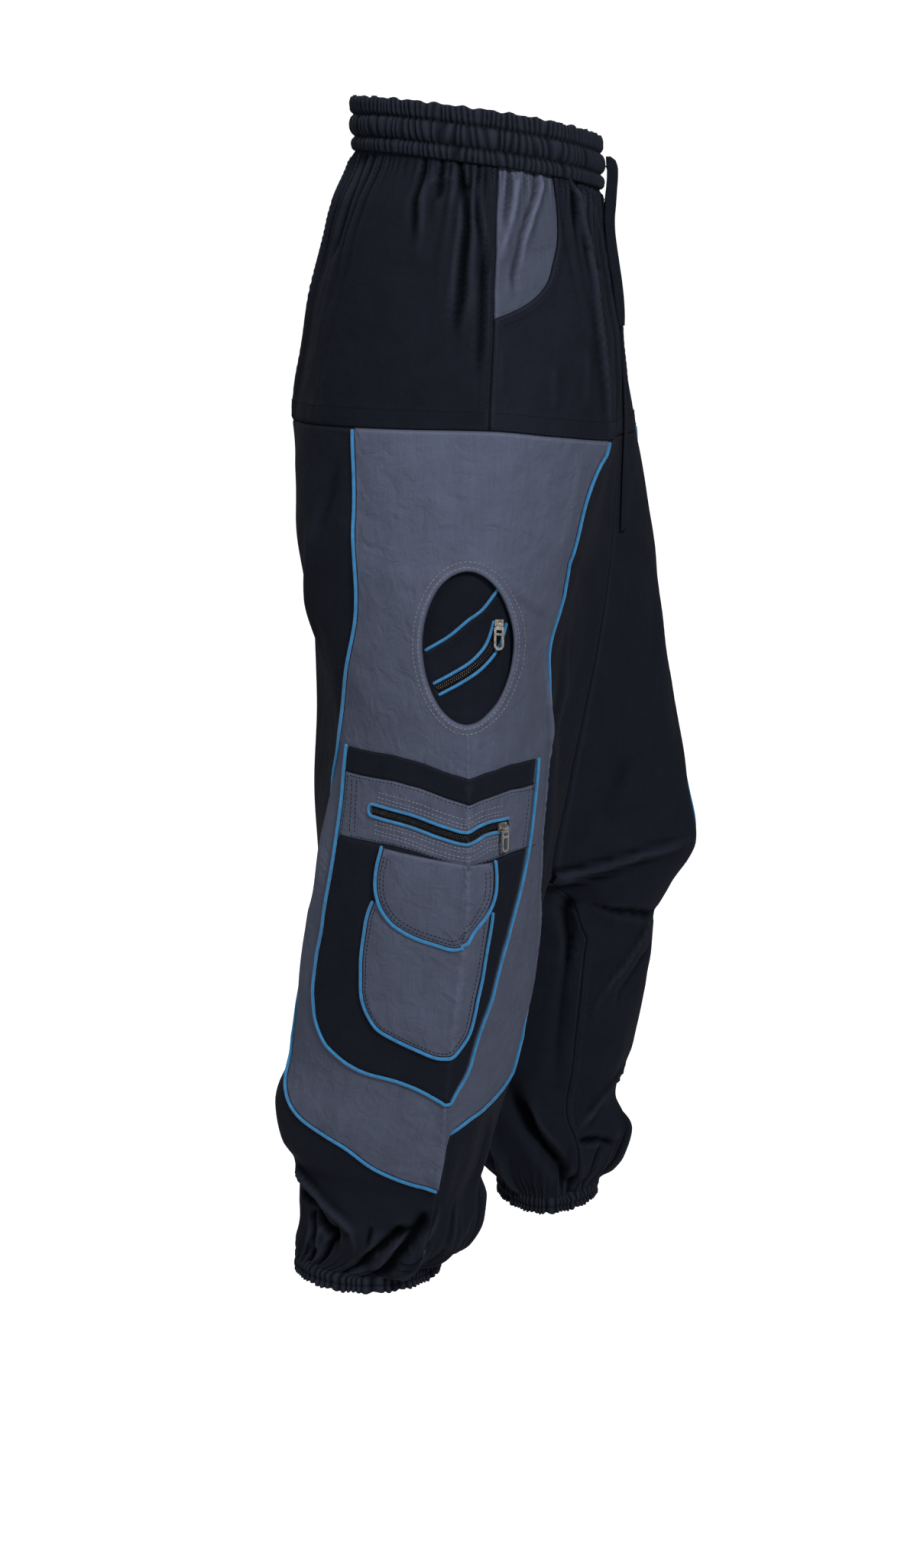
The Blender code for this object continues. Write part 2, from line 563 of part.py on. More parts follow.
def yokes(side, label):
    half = SEAM_GAP / 2
    mouth = mouth_line(lift=half, inward=half)
    mouth[0, 1] = YOKE_TOP
    seam = SIDE_SEAM - half / DEGREE
    mouth[-1, 0] = seam
    waist = np.linspace(CENTRE_FRONT, mouth[0, 0], 8)[:-1]
    hem = hem_line(seam, CENTRE_FRONT, half)
    sides = [np.stack([waist, np.full(len(waist), YOKE_TOP)], 1), mouth, [(seam, -182), (seam, -213)], hem,
             [(CENTRE_FRONT, z) for z in (-230, -197, -163, -128, -94, -58)]]
    cloth(f"yoke_front_{label}", side, facets(np.concatenate(sides), YOKE_FACET), "black")
    seam = SIDE_SEAM + half / DEGREE
    waist = np.linspace(CENTRE_BACK, seam, 13)
    hem = hem_line(seam, CENTRE_BACK, half)
    sides = [np.stack([waist, np.full(len(waist), YOKE_TOP)], 1),
             [(seam, z) for z in (-60, -98, -125, -152, -182, -213)], hem,
             [(CENTRE_BACK, z) for z in (-213, -182, -152, -125, -98, -60)]]
    crease = [(CREASE, z) for z in (-60, -98, -137, -175, -213)]
    cloth(f"yoke_back_{label}", side, facets(np.concatenate(sides), YOKE_FACET, crease), "black")


def pocket_facing(side, label):
    """The grey facing tucked behind the front yoke's curved edge, out to the side seam."""
    seam = SIDE_SEAM - 0.15
    inner = mouth_line(lift=-FACING_LAP * 0.7, inward=FACING_LAP)
    inner = inner[inner[:, 0] < seam - 6]
    inner[0, 1] = YOKE_TOP
    sides = [inner, [(seam, -161), (seam, -140), (seam, -115), (seam, -90), (seam, -58), (seam, YOKE_TOP)],
             [(62, YOKE_TOP), (50, YOKE_TOP)]]
    cloth(f"pocket_facing_{label}", side, facets(np.concatenate(sides), 20.0), "grey", -WALL - FACING_GAP)


def crease_line(size):
    """The side crease from the yoke down to the side panel's tip."""
    ends = (-YOKE_HEM[-1][1], -FRONT_SEAM[-1][1])
    heights = -np.linspace(ends[0], ends[1], int((ends[1] - ends[0]) / size) + 1)[1:-1]
    return np.stack([np.full(len(heights), CREASE), heights], 1)


def side_facets(side):
    """The points and triangles of the whole side panel."""
    front, back = panel_seams(side, SEAM_GAP / 2)
    top = hem_line(back[0, 0], front[0, 0], -SEAM_GAP / 2)[1:-1]
    return facets(np.concatenate([front, back[-2::-1], top]), PANEL_FACET, crease_line(PANEL_FACET))


def leg_panels(side, label):
    half = SEAM_GAP / 2
    seams = panel_seams(side, -half)
    low = ANKLE_TOP[side] + half
    side_z = np.linspace(FRONT_SEAM[-1][1] - half, low, 5)[1:]
    inseam_z = np.linspace(low, CROTCH, 11)[1:-1]
    centre_z = np.linspace(CROTCH, YOKE_HEM[0][1] - half, 14)
    for name, seam, centre, turned, sign in (("front", seams[0], CENTRE_FRONT, 0, 1),
                                             ("back", seams[1], CENTRE_BACK, 360, -1)):
        crease = CREASE - sign * CREASE_GAP
        inner = smooth_rows(INSEAM[side], inseam_z)[:, 0] + turned + sign * INSEAM_GAP
        low_inner, top_inner = smooth_rows(INSEAM[side], [low, CROTCH])[:, 0] + turned + sign * INSEAM_GAP
        turn = np.linspace(crease, low_inner, 15)
        centre_z = np.linspace(CROTCH, smooth_rows(YOKE_HEM, [centre])[0, 0] - half, 14)
        crotch = np.linspace(top_inner, centre, 6)[1:-1]
        sides = [hem_line(centre, seam[0, 0], -half)[:-1], seam[:-1],
                 [(crease, seam[-1, 1])], [(crease, z) for z in side_z[:-1]],
                 np.stack([turn, np.full(15, low)], 1), np.stack([inner, inseam_z], 1), [(top_inner, CROTCH)],
                 [(angle, CROTCH) for angle in crotch], [(centre, z) for z in centre_z[:-1]]]
        covering = facets(np.concatenate(sides), LEG_FACET)
        cloth(f"leg_{name}_{label}", side, covering, "black")


def ankle(side, label):
    """The gathered elastic hem, as (part of its height, bulge)."""
    profile = ((0, 0.4), (0.3, 2.6), (0.62, 0.9), (1, 2.6), (1, -1.0), (0, -1.4))
    heights = np.array([ANKLE_TOP[side] - 0.2 - ANKLE_HEIGHT * part for part, _ in profile])
    bulges = np.array([bulge for _, bulge in profile])
    angles = np.linspace(-90, 270, 29)[:-1]
    ring(f"ankle_{label}", lifted(side, angles[:, None], heights[None, :], bulges[None, :, None]), "black")


def shortened(points, start, end):
    """A line with some of its length left off at each end."""
    points = np.asarray(points, float)
    runs = np.concatenate([[0], np.cumsum(np.linalg.norm(np.diff(points, axis=0), axis=1))])
    low, high = start, runs[-1] - end
    ends = [[np.interp(at, runs, column) for column in points.T] for at in (low, high)]
    return np.array([ends[0], *points[(runs > low + 1) & (runs < high - 1)], ends[1]])


def side_pipings(side, label):
    height = PIPING_CLEARANCE + PIPING_RADIUS
    for name, line in zip(("front", "back"), panel_seams(side, 0.0)):
        points = lifted(side, line[:, 0], line[:, 1], height)
        spare = PIPING_RADIUS + 0.6
        tube(f"side_piping_{name}_{label}", shortened(points, 1.0, spare), PIPING_RADIUS, "blue")


# Cutters and pieces cut from copies of the side panel

def side_cutter(name, line):
    """A prism along X with a side-elevation outline, which a Boolean cuts with."""
    near, far = (-290 * MM, -133 * MM)
    made = bmesh.new()
    loop = [made.verts.new((near, y * MM, z * MM)) for y, z in line]
    face = made.faces.new(loop)
    moved = bmesh.ops.extrude_face_region(made, geom=[face])["geom"]
    bmesh.ops.translate(made, vec=(far - near, 0, 0), verts=[v for v in moved if isinstance(v, bmesh.types.BMVert)])
    bmesh.ops.recalc_face_normals(made, faces=made.faces)
    data = bpy.data.meshes.new(name)
    made.to_mesh(data)
    made.free()
    cutter = bpy.data.objects.new(name, data)
    bpy.context.scene.collection.objects.link(cutter)
    cutter.hide_render = True
    cutter.display_type = "WIRE"
    return cutter


def cut(piece, cutter, operation):
    change = piece.modifiers.new(operation.title(), "BOOLEAN")
    change.operation = operation
    change.solver = "EXACT"
    change.object = cutter


def oval_line(grow=0.0, count=24):
    turn = np.linspace(0, 2 * math.pi, count, endpoint=False)
    return np.stack([OVAL_HOLE["y"] + (OVAL_HOLE["half_width"] + grow) * np.cos(turn),
                     OVAL_HOLE["z"] + (OVAL_HOLE["half_height"] + grow) * np.sin(turn)], 1)


def side_panels():
    for side, label in ((RIGHT, "right"), (LEFT, "left")):
        panel = cloth(f"side_panel_{label}", side, side_facets(side), "grey")
        if side == RIGHT:
            cut(panel, side_cutter("oval_cutter", oval_line()), "DIFFERENCE")


def layer(name, outline, number, colour):
    """A pocket piece: the side panel's own facets moved out to a layer, and cut to an outline."""
    height = number * (LAYER_GAP + POCKET_WALL)
    piece = cloth(name, RIGHT, side_facets(RIGHT), colour, height=height, wall=POCKET_WALL)
    cut(piece, side_cutter(f"{name}_cutter", outline), "INTERSECT")
    return piece


def on_side(line, height):
    """Points of a side-elevation line, laid on the side panel's facets at a height off them."""
    places, triangles = side_facets(RIGHT)
    points = lifted(RIGHT, places[:, 0], places[:, 1], height)
    y, z = finely(line).T
    return plain_line(np.stack([out_at(points, triangles, y, z), y, z], 1), CORD_SLACK)


def lowered(line, depth):
    return np.asarray(line, float) - (0, depth)


def cargo_pocket():
    """The big U pocket: black body, black top strip, grey zip panel, and the piping round them."""
    edge_gap = PIPING_RADIUS + 0.6
    piping = through(CARGO_REAR + CARGO_FRONT, 38)
    outline = beside(piping, -edge_gap)
    top = np.asarray(STRIP_TOP, float)
    sides = outline[(outline[:, 1] < -520)]
    tube("cargo_piping", on_side(piping, PIPING_CLEARANCE + PIPING_RADIUS), PIPING_RADIUS, "blue")

    def between(high, low, name, colour):
        band = np.concatenate([high, low[::-1]])
        piece = layer(name, band, 1, colour)
        cut(piece, side_cutter(f"{name}_sides", sides), "INTERSECT")
        return piece

    reach = np.array(((6, 0),) + ((0, 0),) * (len(top) - 2) + ((-6, 0),))
    line = top + reach
    strip_low = lowered(line, STRIP_DEPTH)
    panel_low = lowered(line, ZIP_PANEL_DEPTH)
    between(line, strip_low, "cargo_strip", "black")
    zip_panel = between(lowered(strip_low, SEAM_GAP), panel_low, "cargo_zip_panel", "grey")
    zip_line = through(ZIP_LINE, 14)
    cut(zip_panel, side_cutter("zip_slot", slot_line(zip_line, ZIP_TAPE_HALF + TAPE_GAP, TAPE_GAP)), "DIFFERENCE")
    bottom = np.array(((-90, -860), (150, -860)), float)
    between(lowered(panel_low, SEAM_GAP), bottom[::-1], "cargo_pocket", "black")


def cargo_zip():
    line = through(ZIP_LINE, 14)
    layer("zip_tape", slot_line(line, ZIP_TAPE_HALF, 0.0), 1, "teeth")
    base = LAYER_GAP + POCKET_WALL + PIPING_CLEARANCE + ZIP_PIPING_RADIUS
    for name, move in (("upper", -ZIP_HALF_GAP), ("lower", ZIP_HALF_GAP)):
        points = on_side(beside(line, move), base)
        tube(f"zip_piping_{name}", points, ZIP_PIPING_RADIUS, "blue")


def flap_and_patch():
    edge_gap = PIPING_RADIUS + 0.6
    for name, outline, number, count in (("patch_pocket", PATCH, 2, 26), ("pocket_flap", FLAP, 3, 19)):
        line = through(outline, count)
        layer(name, beside(line, -edge_gap), number, "grey")
        base = (number - 1) * (LAYER_GAP + POCKET_WALL) + PIPING_CLEARANCE + PIPING_RADIUS
        trim = name.split("_")[0] if name.startswith("patch") else "flap"
        cord = on_side(line, base)
        if name == "patch_pocket":
            cord = shortened(cord, *PATCH_PIPING_ENDS)
        tube(f"{trim}_piping", cord, PIPING_RADIUS, "blue")


# Behind the oval hole

def bag_facets(height):
    """The dished backing's points, moved out by `height`, and its triangles."""
    wide, tall = OVAL_HOLE["half_width"] + BAG_MARGIN, OVAL_HOLE["half_height"] + BAG_MARGIN
    turn = np.linspace(0, 2 * math.pi, BAG_SPOKES, endpoint=False)
    share = np.array(BAG_RINGS)[:, None]
    y = np.concatenate([[OVAL_HOLE["y"]], (OVAL_HOLE["y"] + wide * share * np.cos(turn)).ravel()])
    z = np.concatenate([[OVAL_HOLE["z"]], (OVAL_HOLE["z"] + tall * share * np.sin(turn)).ravel()])
    dip = BAG_DEPTH * np.concatenate([[1.0], np.repeat(1 - share[:, 0] ** 2, BAG_SPOKES)])
    places, triangles = side_facets(RIGHT)
    panel = lifted(RIGHT, places[:, 0], places[:, 1], -WALL)
    slope = np.maximum(np.abs(outward(RIGHT, ring_angle(RIGHT, y, z), z)[:, 0]), 0.5)
    x = out_at(panel, triangles, y, z) + (BAG_GAP + dip - height) / slope
    faces = []
    for k in range(BAG_SPOKES):
        a, b = 1 + k, 1 + (k + 1) % BAG_SPOKES
        faces.append((0, a, b))
        for i in range(len(BAG_RINGS) - 1):
            p, q = a + i * BAG_SPOKES, b + i * BAG_SPOKES
            faces += [(p, p + BAG_SPOKES, q + BAG_SPOKES), (p, q + BAG_SPOKES, q)]
    return np.stack([x, y, z], 1), faces


def dish(name, height, colour):
    """A layer of the backing whose inner face is `height` off the bag's outer face."""
    outer, faces = bag_facets(height + POCKET_WALL if height else 0.0)
    inner, _ = bag_facets(height if height else -POCKET_WALL)
    return closed(name, outer, inner, faces, colour)


def in_bag(line, height):
    """Points of a side-elevation line at a height off the dished backing."""
    points, faces = bag_facets(height)
    y, z = finely(line).T
    return plain_line(np.stack([out_at(points, faces, y, z), y, z], 1), CORD_SLACK)


def inner_pocket():
    dish("inner_bag", 0.0, "black")
    edge = through(INNER_EDGE, 9)
    below = np.concatenate([beside(edge, ZIP_PIPING_RADIUS + 0.4), ((-70, -420), (-60, -500), (40, -500), (40, -430))])
    pocket = dish("inner_pocket", LAYER_GAP, "black")
    cut(pocket, side_cutter("inner_edge_cutter", below), "INTERSECT")
    cut(pocket, side_cutter("inner_outline", oval_line(BAG_MARGIN - 5)), "INTERSECT")
    line = through(INNER_ZIP_LINE, 10)
    cut(pocket, side_cutter("inner_slot", slot_line(line, ZIP_TAPE_HALF + TAPE_GAP, TAPE_GAP)), "DIFFERENCE")
    tape = dish("inner_zip_tape", LAYER_GAP, "teeth")
    cut(tape, side_cutter("inner_tape_cutter", slot_line(line, ZIP_TAPE_HALF, 0.0)), "INTERSECT")
    tube("inner_pocket_piping", in_bag(edge, PIPING_CLEARANCE + ZIP_PIPING_RADIUS), ZIP_PIPING_RADIUS, "blue")
    base = LAYER_GAP + POCKET_WALL + PIPING_CLEARANCE + ZIP_PIPING_RADIUS
    for name, move in (("upper", -ZIP_HALF_GAP), ("lower", ZIP_HALF_GAP)):
        tube(f"inner_zip_piping_{name}", in_bag(beside(line, move), base), ZIP_PIPING_RADIUS, "blue")


# Zip pulls

def placed(made, across, up, out, origin):
    """Turn a bmesh from its own across, up and out axes into place."""
    for vert in made.verts:
        spot = vert.co
        vert.co = (Vector(origin) + Vector(across) * spot.x + Vector(up) * spot.y + Vector(out) * spot.z) * MM


def add_box(made, low, high):
    corners = [made.verts.new((x, y, z)) for z in (low[2], high[2]) for y in (low[1], high[1])
               for x in (low[0], high[0])]
    for face in ((0, 2, 3, 1), (4, 5, 7, 6), (0, 1, 5, 4), (2, 6, 7, 3), (0, 4, 6, 2), (1, 3, 7, 5)):
        made.faces.new([corners[index] for index in face])


def hard_piece(name, made, colour, frame):
    placed(made, *frame)
    return finished(name, made, colour)


def zip_pull(prefix, origin, across, out, length):
    """The slider, with its back's middle at `origin`, and its hanging tab."""
    up = Vector((0, 0, 1))
    axis_out = SLIDER["thick"] + EAR["reach"] - PIN_RADIUS - 0.4
    frame = (across, up, out, origin)

    made = bmesh.new()
    half, tall = length / 2, SLIDER["height"] / 2
    add_box(made, (-half, -tall, 0), (half, tall, SLIDER["thick"]))
    slider = hard_piece(f"{prefix}slider", made, "steel", frame)
    ears = bmesh.new()
    inner_half = EAR["apart"] / 2
    for sign in (-1, 1):
        low, high = sorted((sign * inner_half, sign * (inner_half + EAR["wide"])))
        add_box(ears, (low, -EAR["tall"] / 2, SLIDER["thick"] - 0.3), (high, EAR["tall"] / 2, SLIDER["thick"] + EAR["reach"]))
    add_pin(ears, inner_half + EAR["wide"] / 2, PIN_RADIUS, 0, axis_out)
    added = hard_piece(f"{prefix}ears", ears, "steel", frame)
    added.hide_render = True
    added.display_type = "WIRE"
    cut(slider, added, "UNION")
    slider.modifiers[-1].use_self = True

    tab = bmesh.new()
    add_tab(tab, axis_out)
    hard_piece(f"{prefix}pull", tab, "steel", frame)


def add_pin(made, half, radius, y, out, sides=8):
    rings = []
    for x in (-half, half):
        rings.append([made.verts.new((x, y + radius * math.cos(2 * math.pi * k / sides),
                                      out + radius * math.sin(2 * math.pi * k / sides))) for k in range(sides)])
    for k in range(sides):
        n = (k + 1) % sides
        made.faces.new((rings[0][k], rings[1][k], rings[1][n], rings[0][n]))
    made.faces.new(rings[0][::-1])
    made.faces.new(rings[1])


def add_tab(made, axis_out):
    """The looped tab: an eye round the pin, a flat rim with a bar across, open in between."""
    thick = TAB["thick"]
    sides = 12
    eye_half = TAB["eye_wide"] / 2
    loops = []
    for x in (-eye_half, eye_half):
        for radius in (TAB["eye_in"], TAB["eye_out"]):
            loops.append([made.verts.new((x, radius * math.cos(2 * math.pi * k / sides + math.pi / sides),
                                          axis_out + radius * math.sin(2 * math.pi * k / sides + math.pi / sides)))
                          for k in range(sides)])
    in_low, out_low, in_high, out_high = loops
    lowest = [k for k in range(sides) if abs((2 * math.pi * k / sides + math.pi / sides) - math.pi) < 0.3]
    for k in range(sides):
        n = (k + 1) % sides
        made.faces.new((in_low[k], in_low[n], in_high[n], in_high[k]))
        if not (k in lowest and n in lowest):
            made.faces.new((out_low[k], out_high[k], out_high[n], out_low[n]))
        made.faces.new((in_low[k], out_low[k], out_low[n], in_low[n]))
        made.faces.new((in_high[k], in_high[n], out_high[n], out_high[k]))
    neck = [out_low[lowest[0]], out_low[lowest[1]], out_high[lowest[1]], out_high[lowest[0]]]
    add_rim(made, neck, axis_out, thick)


def add_rim(made, neck, axis_out, thick):
    """The flat loop below the eye, with a bar that splits it, grown from the eye's four neck corners."""
    half, rim = TAB["wide"] / 2, TAB["rim"]
    top = -TAB["eye_out"] - 1.2
    bottom = -TAB["length"]
    steps = TAB["corner_steps"]
    window_top, window_low = top - rim, -TAB["bar_at"] + rim / 2
    hole_top = [(half - rim, window_top), (half - rim, window_low), (rim - half, window_low), (rim - half, window_top)]
    outline = [(half, top), (half, bottom + half)]
    outline += [(half * math.cos(-math.pi * k / (2 * steps)), bottom + half - half * math.sin(math.pi * k / (2 * steps)))
                for k in range(1, 2 * steps)]
    outline += [(-half, bottom + half), (-half, top)]
    inner = half - rim
    hole_low = [(inner, -TAB["bar_at"] - rim / 2), (inner, bottom + half)]
    hole_low += [(inner * math.cos(-math.pi * k / (2 * steps)), bottom + half - inner * math.sin(math.pi * k / (2 * steps)))
                 for k in range(1, 2 * steps)]
    hole_low += [(-inner, bottom + half), (-inner, -TAB["bar_at"] - rim / 2)]
    levels = (axis_out - thick / 2, axis_out + thick / 2)
    rings = {}
    for key, line in (("outer", outline), ("high", hole_top), ("low", hole_low)):
        rings[key] = [[made.verts.new((x, y, level)) for x, y in line] for level in levels]
    for key, line in (("outer", outline), ("high", hole_top), ("low", hole_low)):
        back, front = rings[key]
        count = len(line)
        for k in range(count):
            n = (k + 1) % count
            if key == "outer" and k == count - 1:
                continue
            made.faces.new((back[k], back[n], front[n], front[k]))
    for level in (0, 1):
        edges = []
        for key in rings:
            line = rings[key][level]
            edges += [made.edges.get((line[k], line[(k + 1) % len(line)])) or made.edges.new((line[k], line[(k + 1) % len(line)]))
                      for k in range(len(line))]
        bmesh.ops.triangle_fill(made, edges=edges, use_beauty=True)
    back, front = rings["outer"]
    collar = [back[-1], back[0], front[0], front[-1]]
    join_neck(made, neck, collar)


def join_neck(made, neck, collar):
    """Close the neck between the eye's flat and the top of the rim."""
    low = sorted(neck, key=lambda vert: (vert.co.x, vert.co.z))
    high = sorted(collar, key=lambda vert: (vert.co.x, vert.co.z))
    order = (0, 1, 3, 2)
    for k in range(4):
        a, b = order[k], order[(k + 1) % 4]
        made.faces.new((low[a], low[b], high[b], high[a]))


def drawstring():
    near = through(NEAR_END, 22, spread=3)
    turned = np.radians(near[:, 3])
    face = np.stack([-np.cos(turned), -np.sin(turned), np.zeros(len(near))], 1)
    strip("drawstring_right", near[:, :3], face, TAPE_WIDE, TAPE_THICK, "black")
    on_cloth = np.array(FAR_END, float)
    front_x = smooth_rows(SECTIONS[LEFT], on_cloth[:, 1])[:, 0]
    phi = CENTRE_FRONT * (1 - on_cloth[:, 0] / front_x)
    laid = lifted(LEFT, phi, on_cloth[:, 1], TAPE_LIFT)
    faced = outward(LEFT, phi, on_cloth[:, 1])
    rows = np.concatenate([np.concatenate([FAR_EXIT, np.tile((0, -1, 0), (len(FAR_EXIT), 1))], 1),
                           np.concatenate([laid, faced], 1)])
    far = through(rows, 30, spread=3)
    strip("drawstring_left", far[:, :3], far[:, 3:], TAPE_WIDE, TAPE_THICK, "black")


def sliders():
    for prefix, (y, z) in (("zip_", SLIDER_AT), ("inner_zip_", INNER_ZIP_LINE[-1])):
        normal = outward(RIGHT, ring_angle(RIGHT, y, z), z)
        out = Vector((normal[0], normal[1] if prefix == "zip_" else 0, 0)).normalized()
        across = Vector((0, 0, 1)).cross(out)
        if prefix == "zip_":
            places, faces = side_facets(RIGHT)
            points = lifted(RIGHT, places[:, 0], places[:, 1], LAYER_GAP + POCKET_WALL)
        else:
            points, faces = bag_facets(LAYER_GAP + POCKET_WALL)
        corners = np.array([(y + dy, z + dz) for dy in (-4, 0, 4) for dz in (-3.5, 0, 3.5)])
        found = out_at(points, faces, corners[:, 0], corners[:, 1])
        found = found[np.isfinite(found)]
        rise = max(Vector((x - found.max(), dy - y, 0)).dot(out) for x, (dy, _) in
                   zip(out_at(points, faces, corners[:, 0], corners[:, 1]), corners) if np.isfinite(x))
        spot = Vector((found.max(), y, z)) + out * (rise + 0.5)
        zip_pull(prefix, spot, across, out, SLIDER["length" if prefix == "zip_" else "inner_length"])


def main():
    for piece in list(bpy.data.objects):
        bpy.data.objects.remove(piece, do_unlink=True)
    waistband()
    for side, label in ((RIGHT, "right"), (LEFT, "left")):
        yokes(side, label)
        pocket_facing(side, label)
        leg_panels(side, label)
        ankle(side, label)
        side_pipings(side, label)
    side_panels()
    cargo_pocket()
    cargo_zip()
    flap_and_patch()
    inner_pocket()
    sliders()
    drawstring()


if __name__ == "__main__":
    main()
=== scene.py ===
"""Harem pants: fine cloth, gathers, piping, topstitching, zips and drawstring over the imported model.

The wearer faces -Y, the wearer's left is +X and up is +Z. Sizes in the tables are millimetres. A place on
the cloth is a ring angle and a height: 0 is the front of a leg, 90 its outer side, 180 its back and -90
(or 270) its inner side. Above the crotch each half runs only from -45 to 225.
"""

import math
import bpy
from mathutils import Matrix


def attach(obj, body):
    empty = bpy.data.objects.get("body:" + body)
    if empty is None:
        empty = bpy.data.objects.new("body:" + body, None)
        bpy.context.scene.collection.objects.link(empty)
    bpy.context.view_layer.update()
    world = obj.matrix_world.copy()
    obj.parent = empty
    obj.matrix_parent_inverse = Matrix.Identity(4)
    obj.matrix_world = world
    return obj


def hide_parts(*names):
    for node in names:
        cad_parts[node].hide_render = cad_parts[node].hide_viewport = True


bl_info = {
    "name": "Harem pants",
    "version": (1, 0, 0),
    "blender": (4, 5, 0),
    "location": "View3D > Sidebar > Pants",
    "description": "Builds the visible cloth and trims of a pair of harem pants",
    "category": "Object",
}

import bmesh
import bpy
import numpy as np
from mathutils import Vector
from mathutils.geometry import delaunay_2d_cdt

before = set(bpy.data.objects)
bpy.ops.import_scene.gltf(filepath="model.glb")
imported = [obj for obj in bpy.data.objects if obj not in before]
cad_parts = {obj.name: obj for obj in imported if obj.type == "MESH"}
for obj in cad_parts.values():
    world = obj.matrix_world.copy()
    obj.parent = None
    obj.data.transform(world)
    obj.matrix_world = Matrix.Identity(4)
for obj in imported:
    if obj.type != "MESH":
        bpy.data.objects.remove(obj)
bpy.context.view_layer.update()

MM = 0.001
RIGHT, LEFT, BOTH = -1, 1, 0
SIDES = ((RIGHT, "right"), (LEFT, "left"))

# Cloth and trims, as in the solids. The pipings are thinner by 0.2 mm, as a cord is where it is sewn in
WALL, POCKET_WALL = 1.4, 1.2
SEAM_GAP = 0.08
CENTRE_GAP, CREASE_GAP, INSEAM_GAP = 0.02, 0.02, 0.02
LAYER_GAP = 0.5
LAYER = LAYER_GAP + POCKET_WALL
PIPING_RADIUS, ZIP_PIPING_RADIUS = 1.5, 1.3

# Heights: the waistband's lower edge, the yokes' upper edge inside it, where the tilt of the waist ends, the
# crotch and how far its arch reaches down, the ankle seams, and the lowest level that the form is known at
YOKE_TOP, YOKE_EDGE = -22.8, -16.4
TILT_ENDS = -245.0
CROTCH, ARCH_DEPTH = -680.0, 70.0
ANKLE_TOP = {RIGHT: -1020.0, LEFT: -1031.0}
LOWEST = -1059.0
# How far back, and how much higher the waist is there
WAIST_RISE = ((-130, -29), (-83, -18.4), (-35, -10.6), (0, -5.8), (51, 1.3), (110, 9))

# How round the centre seams and the inner sides are, and ring angles of seams
CENTRE_CURVE, INNER_ROUND = 1.7, 1.7
SIDE_SEAM, CREASE = 74.0, 90.0
CENTRE_FRONT, CENTRE_BACK = -45.0, 225.0
RING_START, RING_END = -90.001, 270.001
DEGREE = 2.2  # millimetres of cloth to one degree
FLAT = (DEGREE, 1)  # from ring angle and height to a flat sheet
# Seams as heights and ring angles, or ring angles and heights
INSEAM = {RIGHT: ((-680, -90), (-860, -90), (-1040, -90)),
          LEFT: ((-680, -58), (-709, -62), (-741, -66), (-838, -66), (-923, -63), (-980, -58), (-1035, -52))}
YOKE_HEM = ((-45, -262), (-20, -262), (12, -260), (49, -252), (75, -246), (90, -245), (225, -245))

# The centre seams: height, then how far forward and back they lie
CENTRE_ROWS = (
    (22, -107, 106), (-22, -109, 104), (-68, -112, 121), (-110, -119, 133), (-173, -129, 146),
    (-245, -130, 157), (-323, -127, 160), (-381, -123, 157), (-451, -114, 153), (-511, -103, 152),
    (-595, -87, 156), (-680, -73, 152), (-760, -73, 152),
)
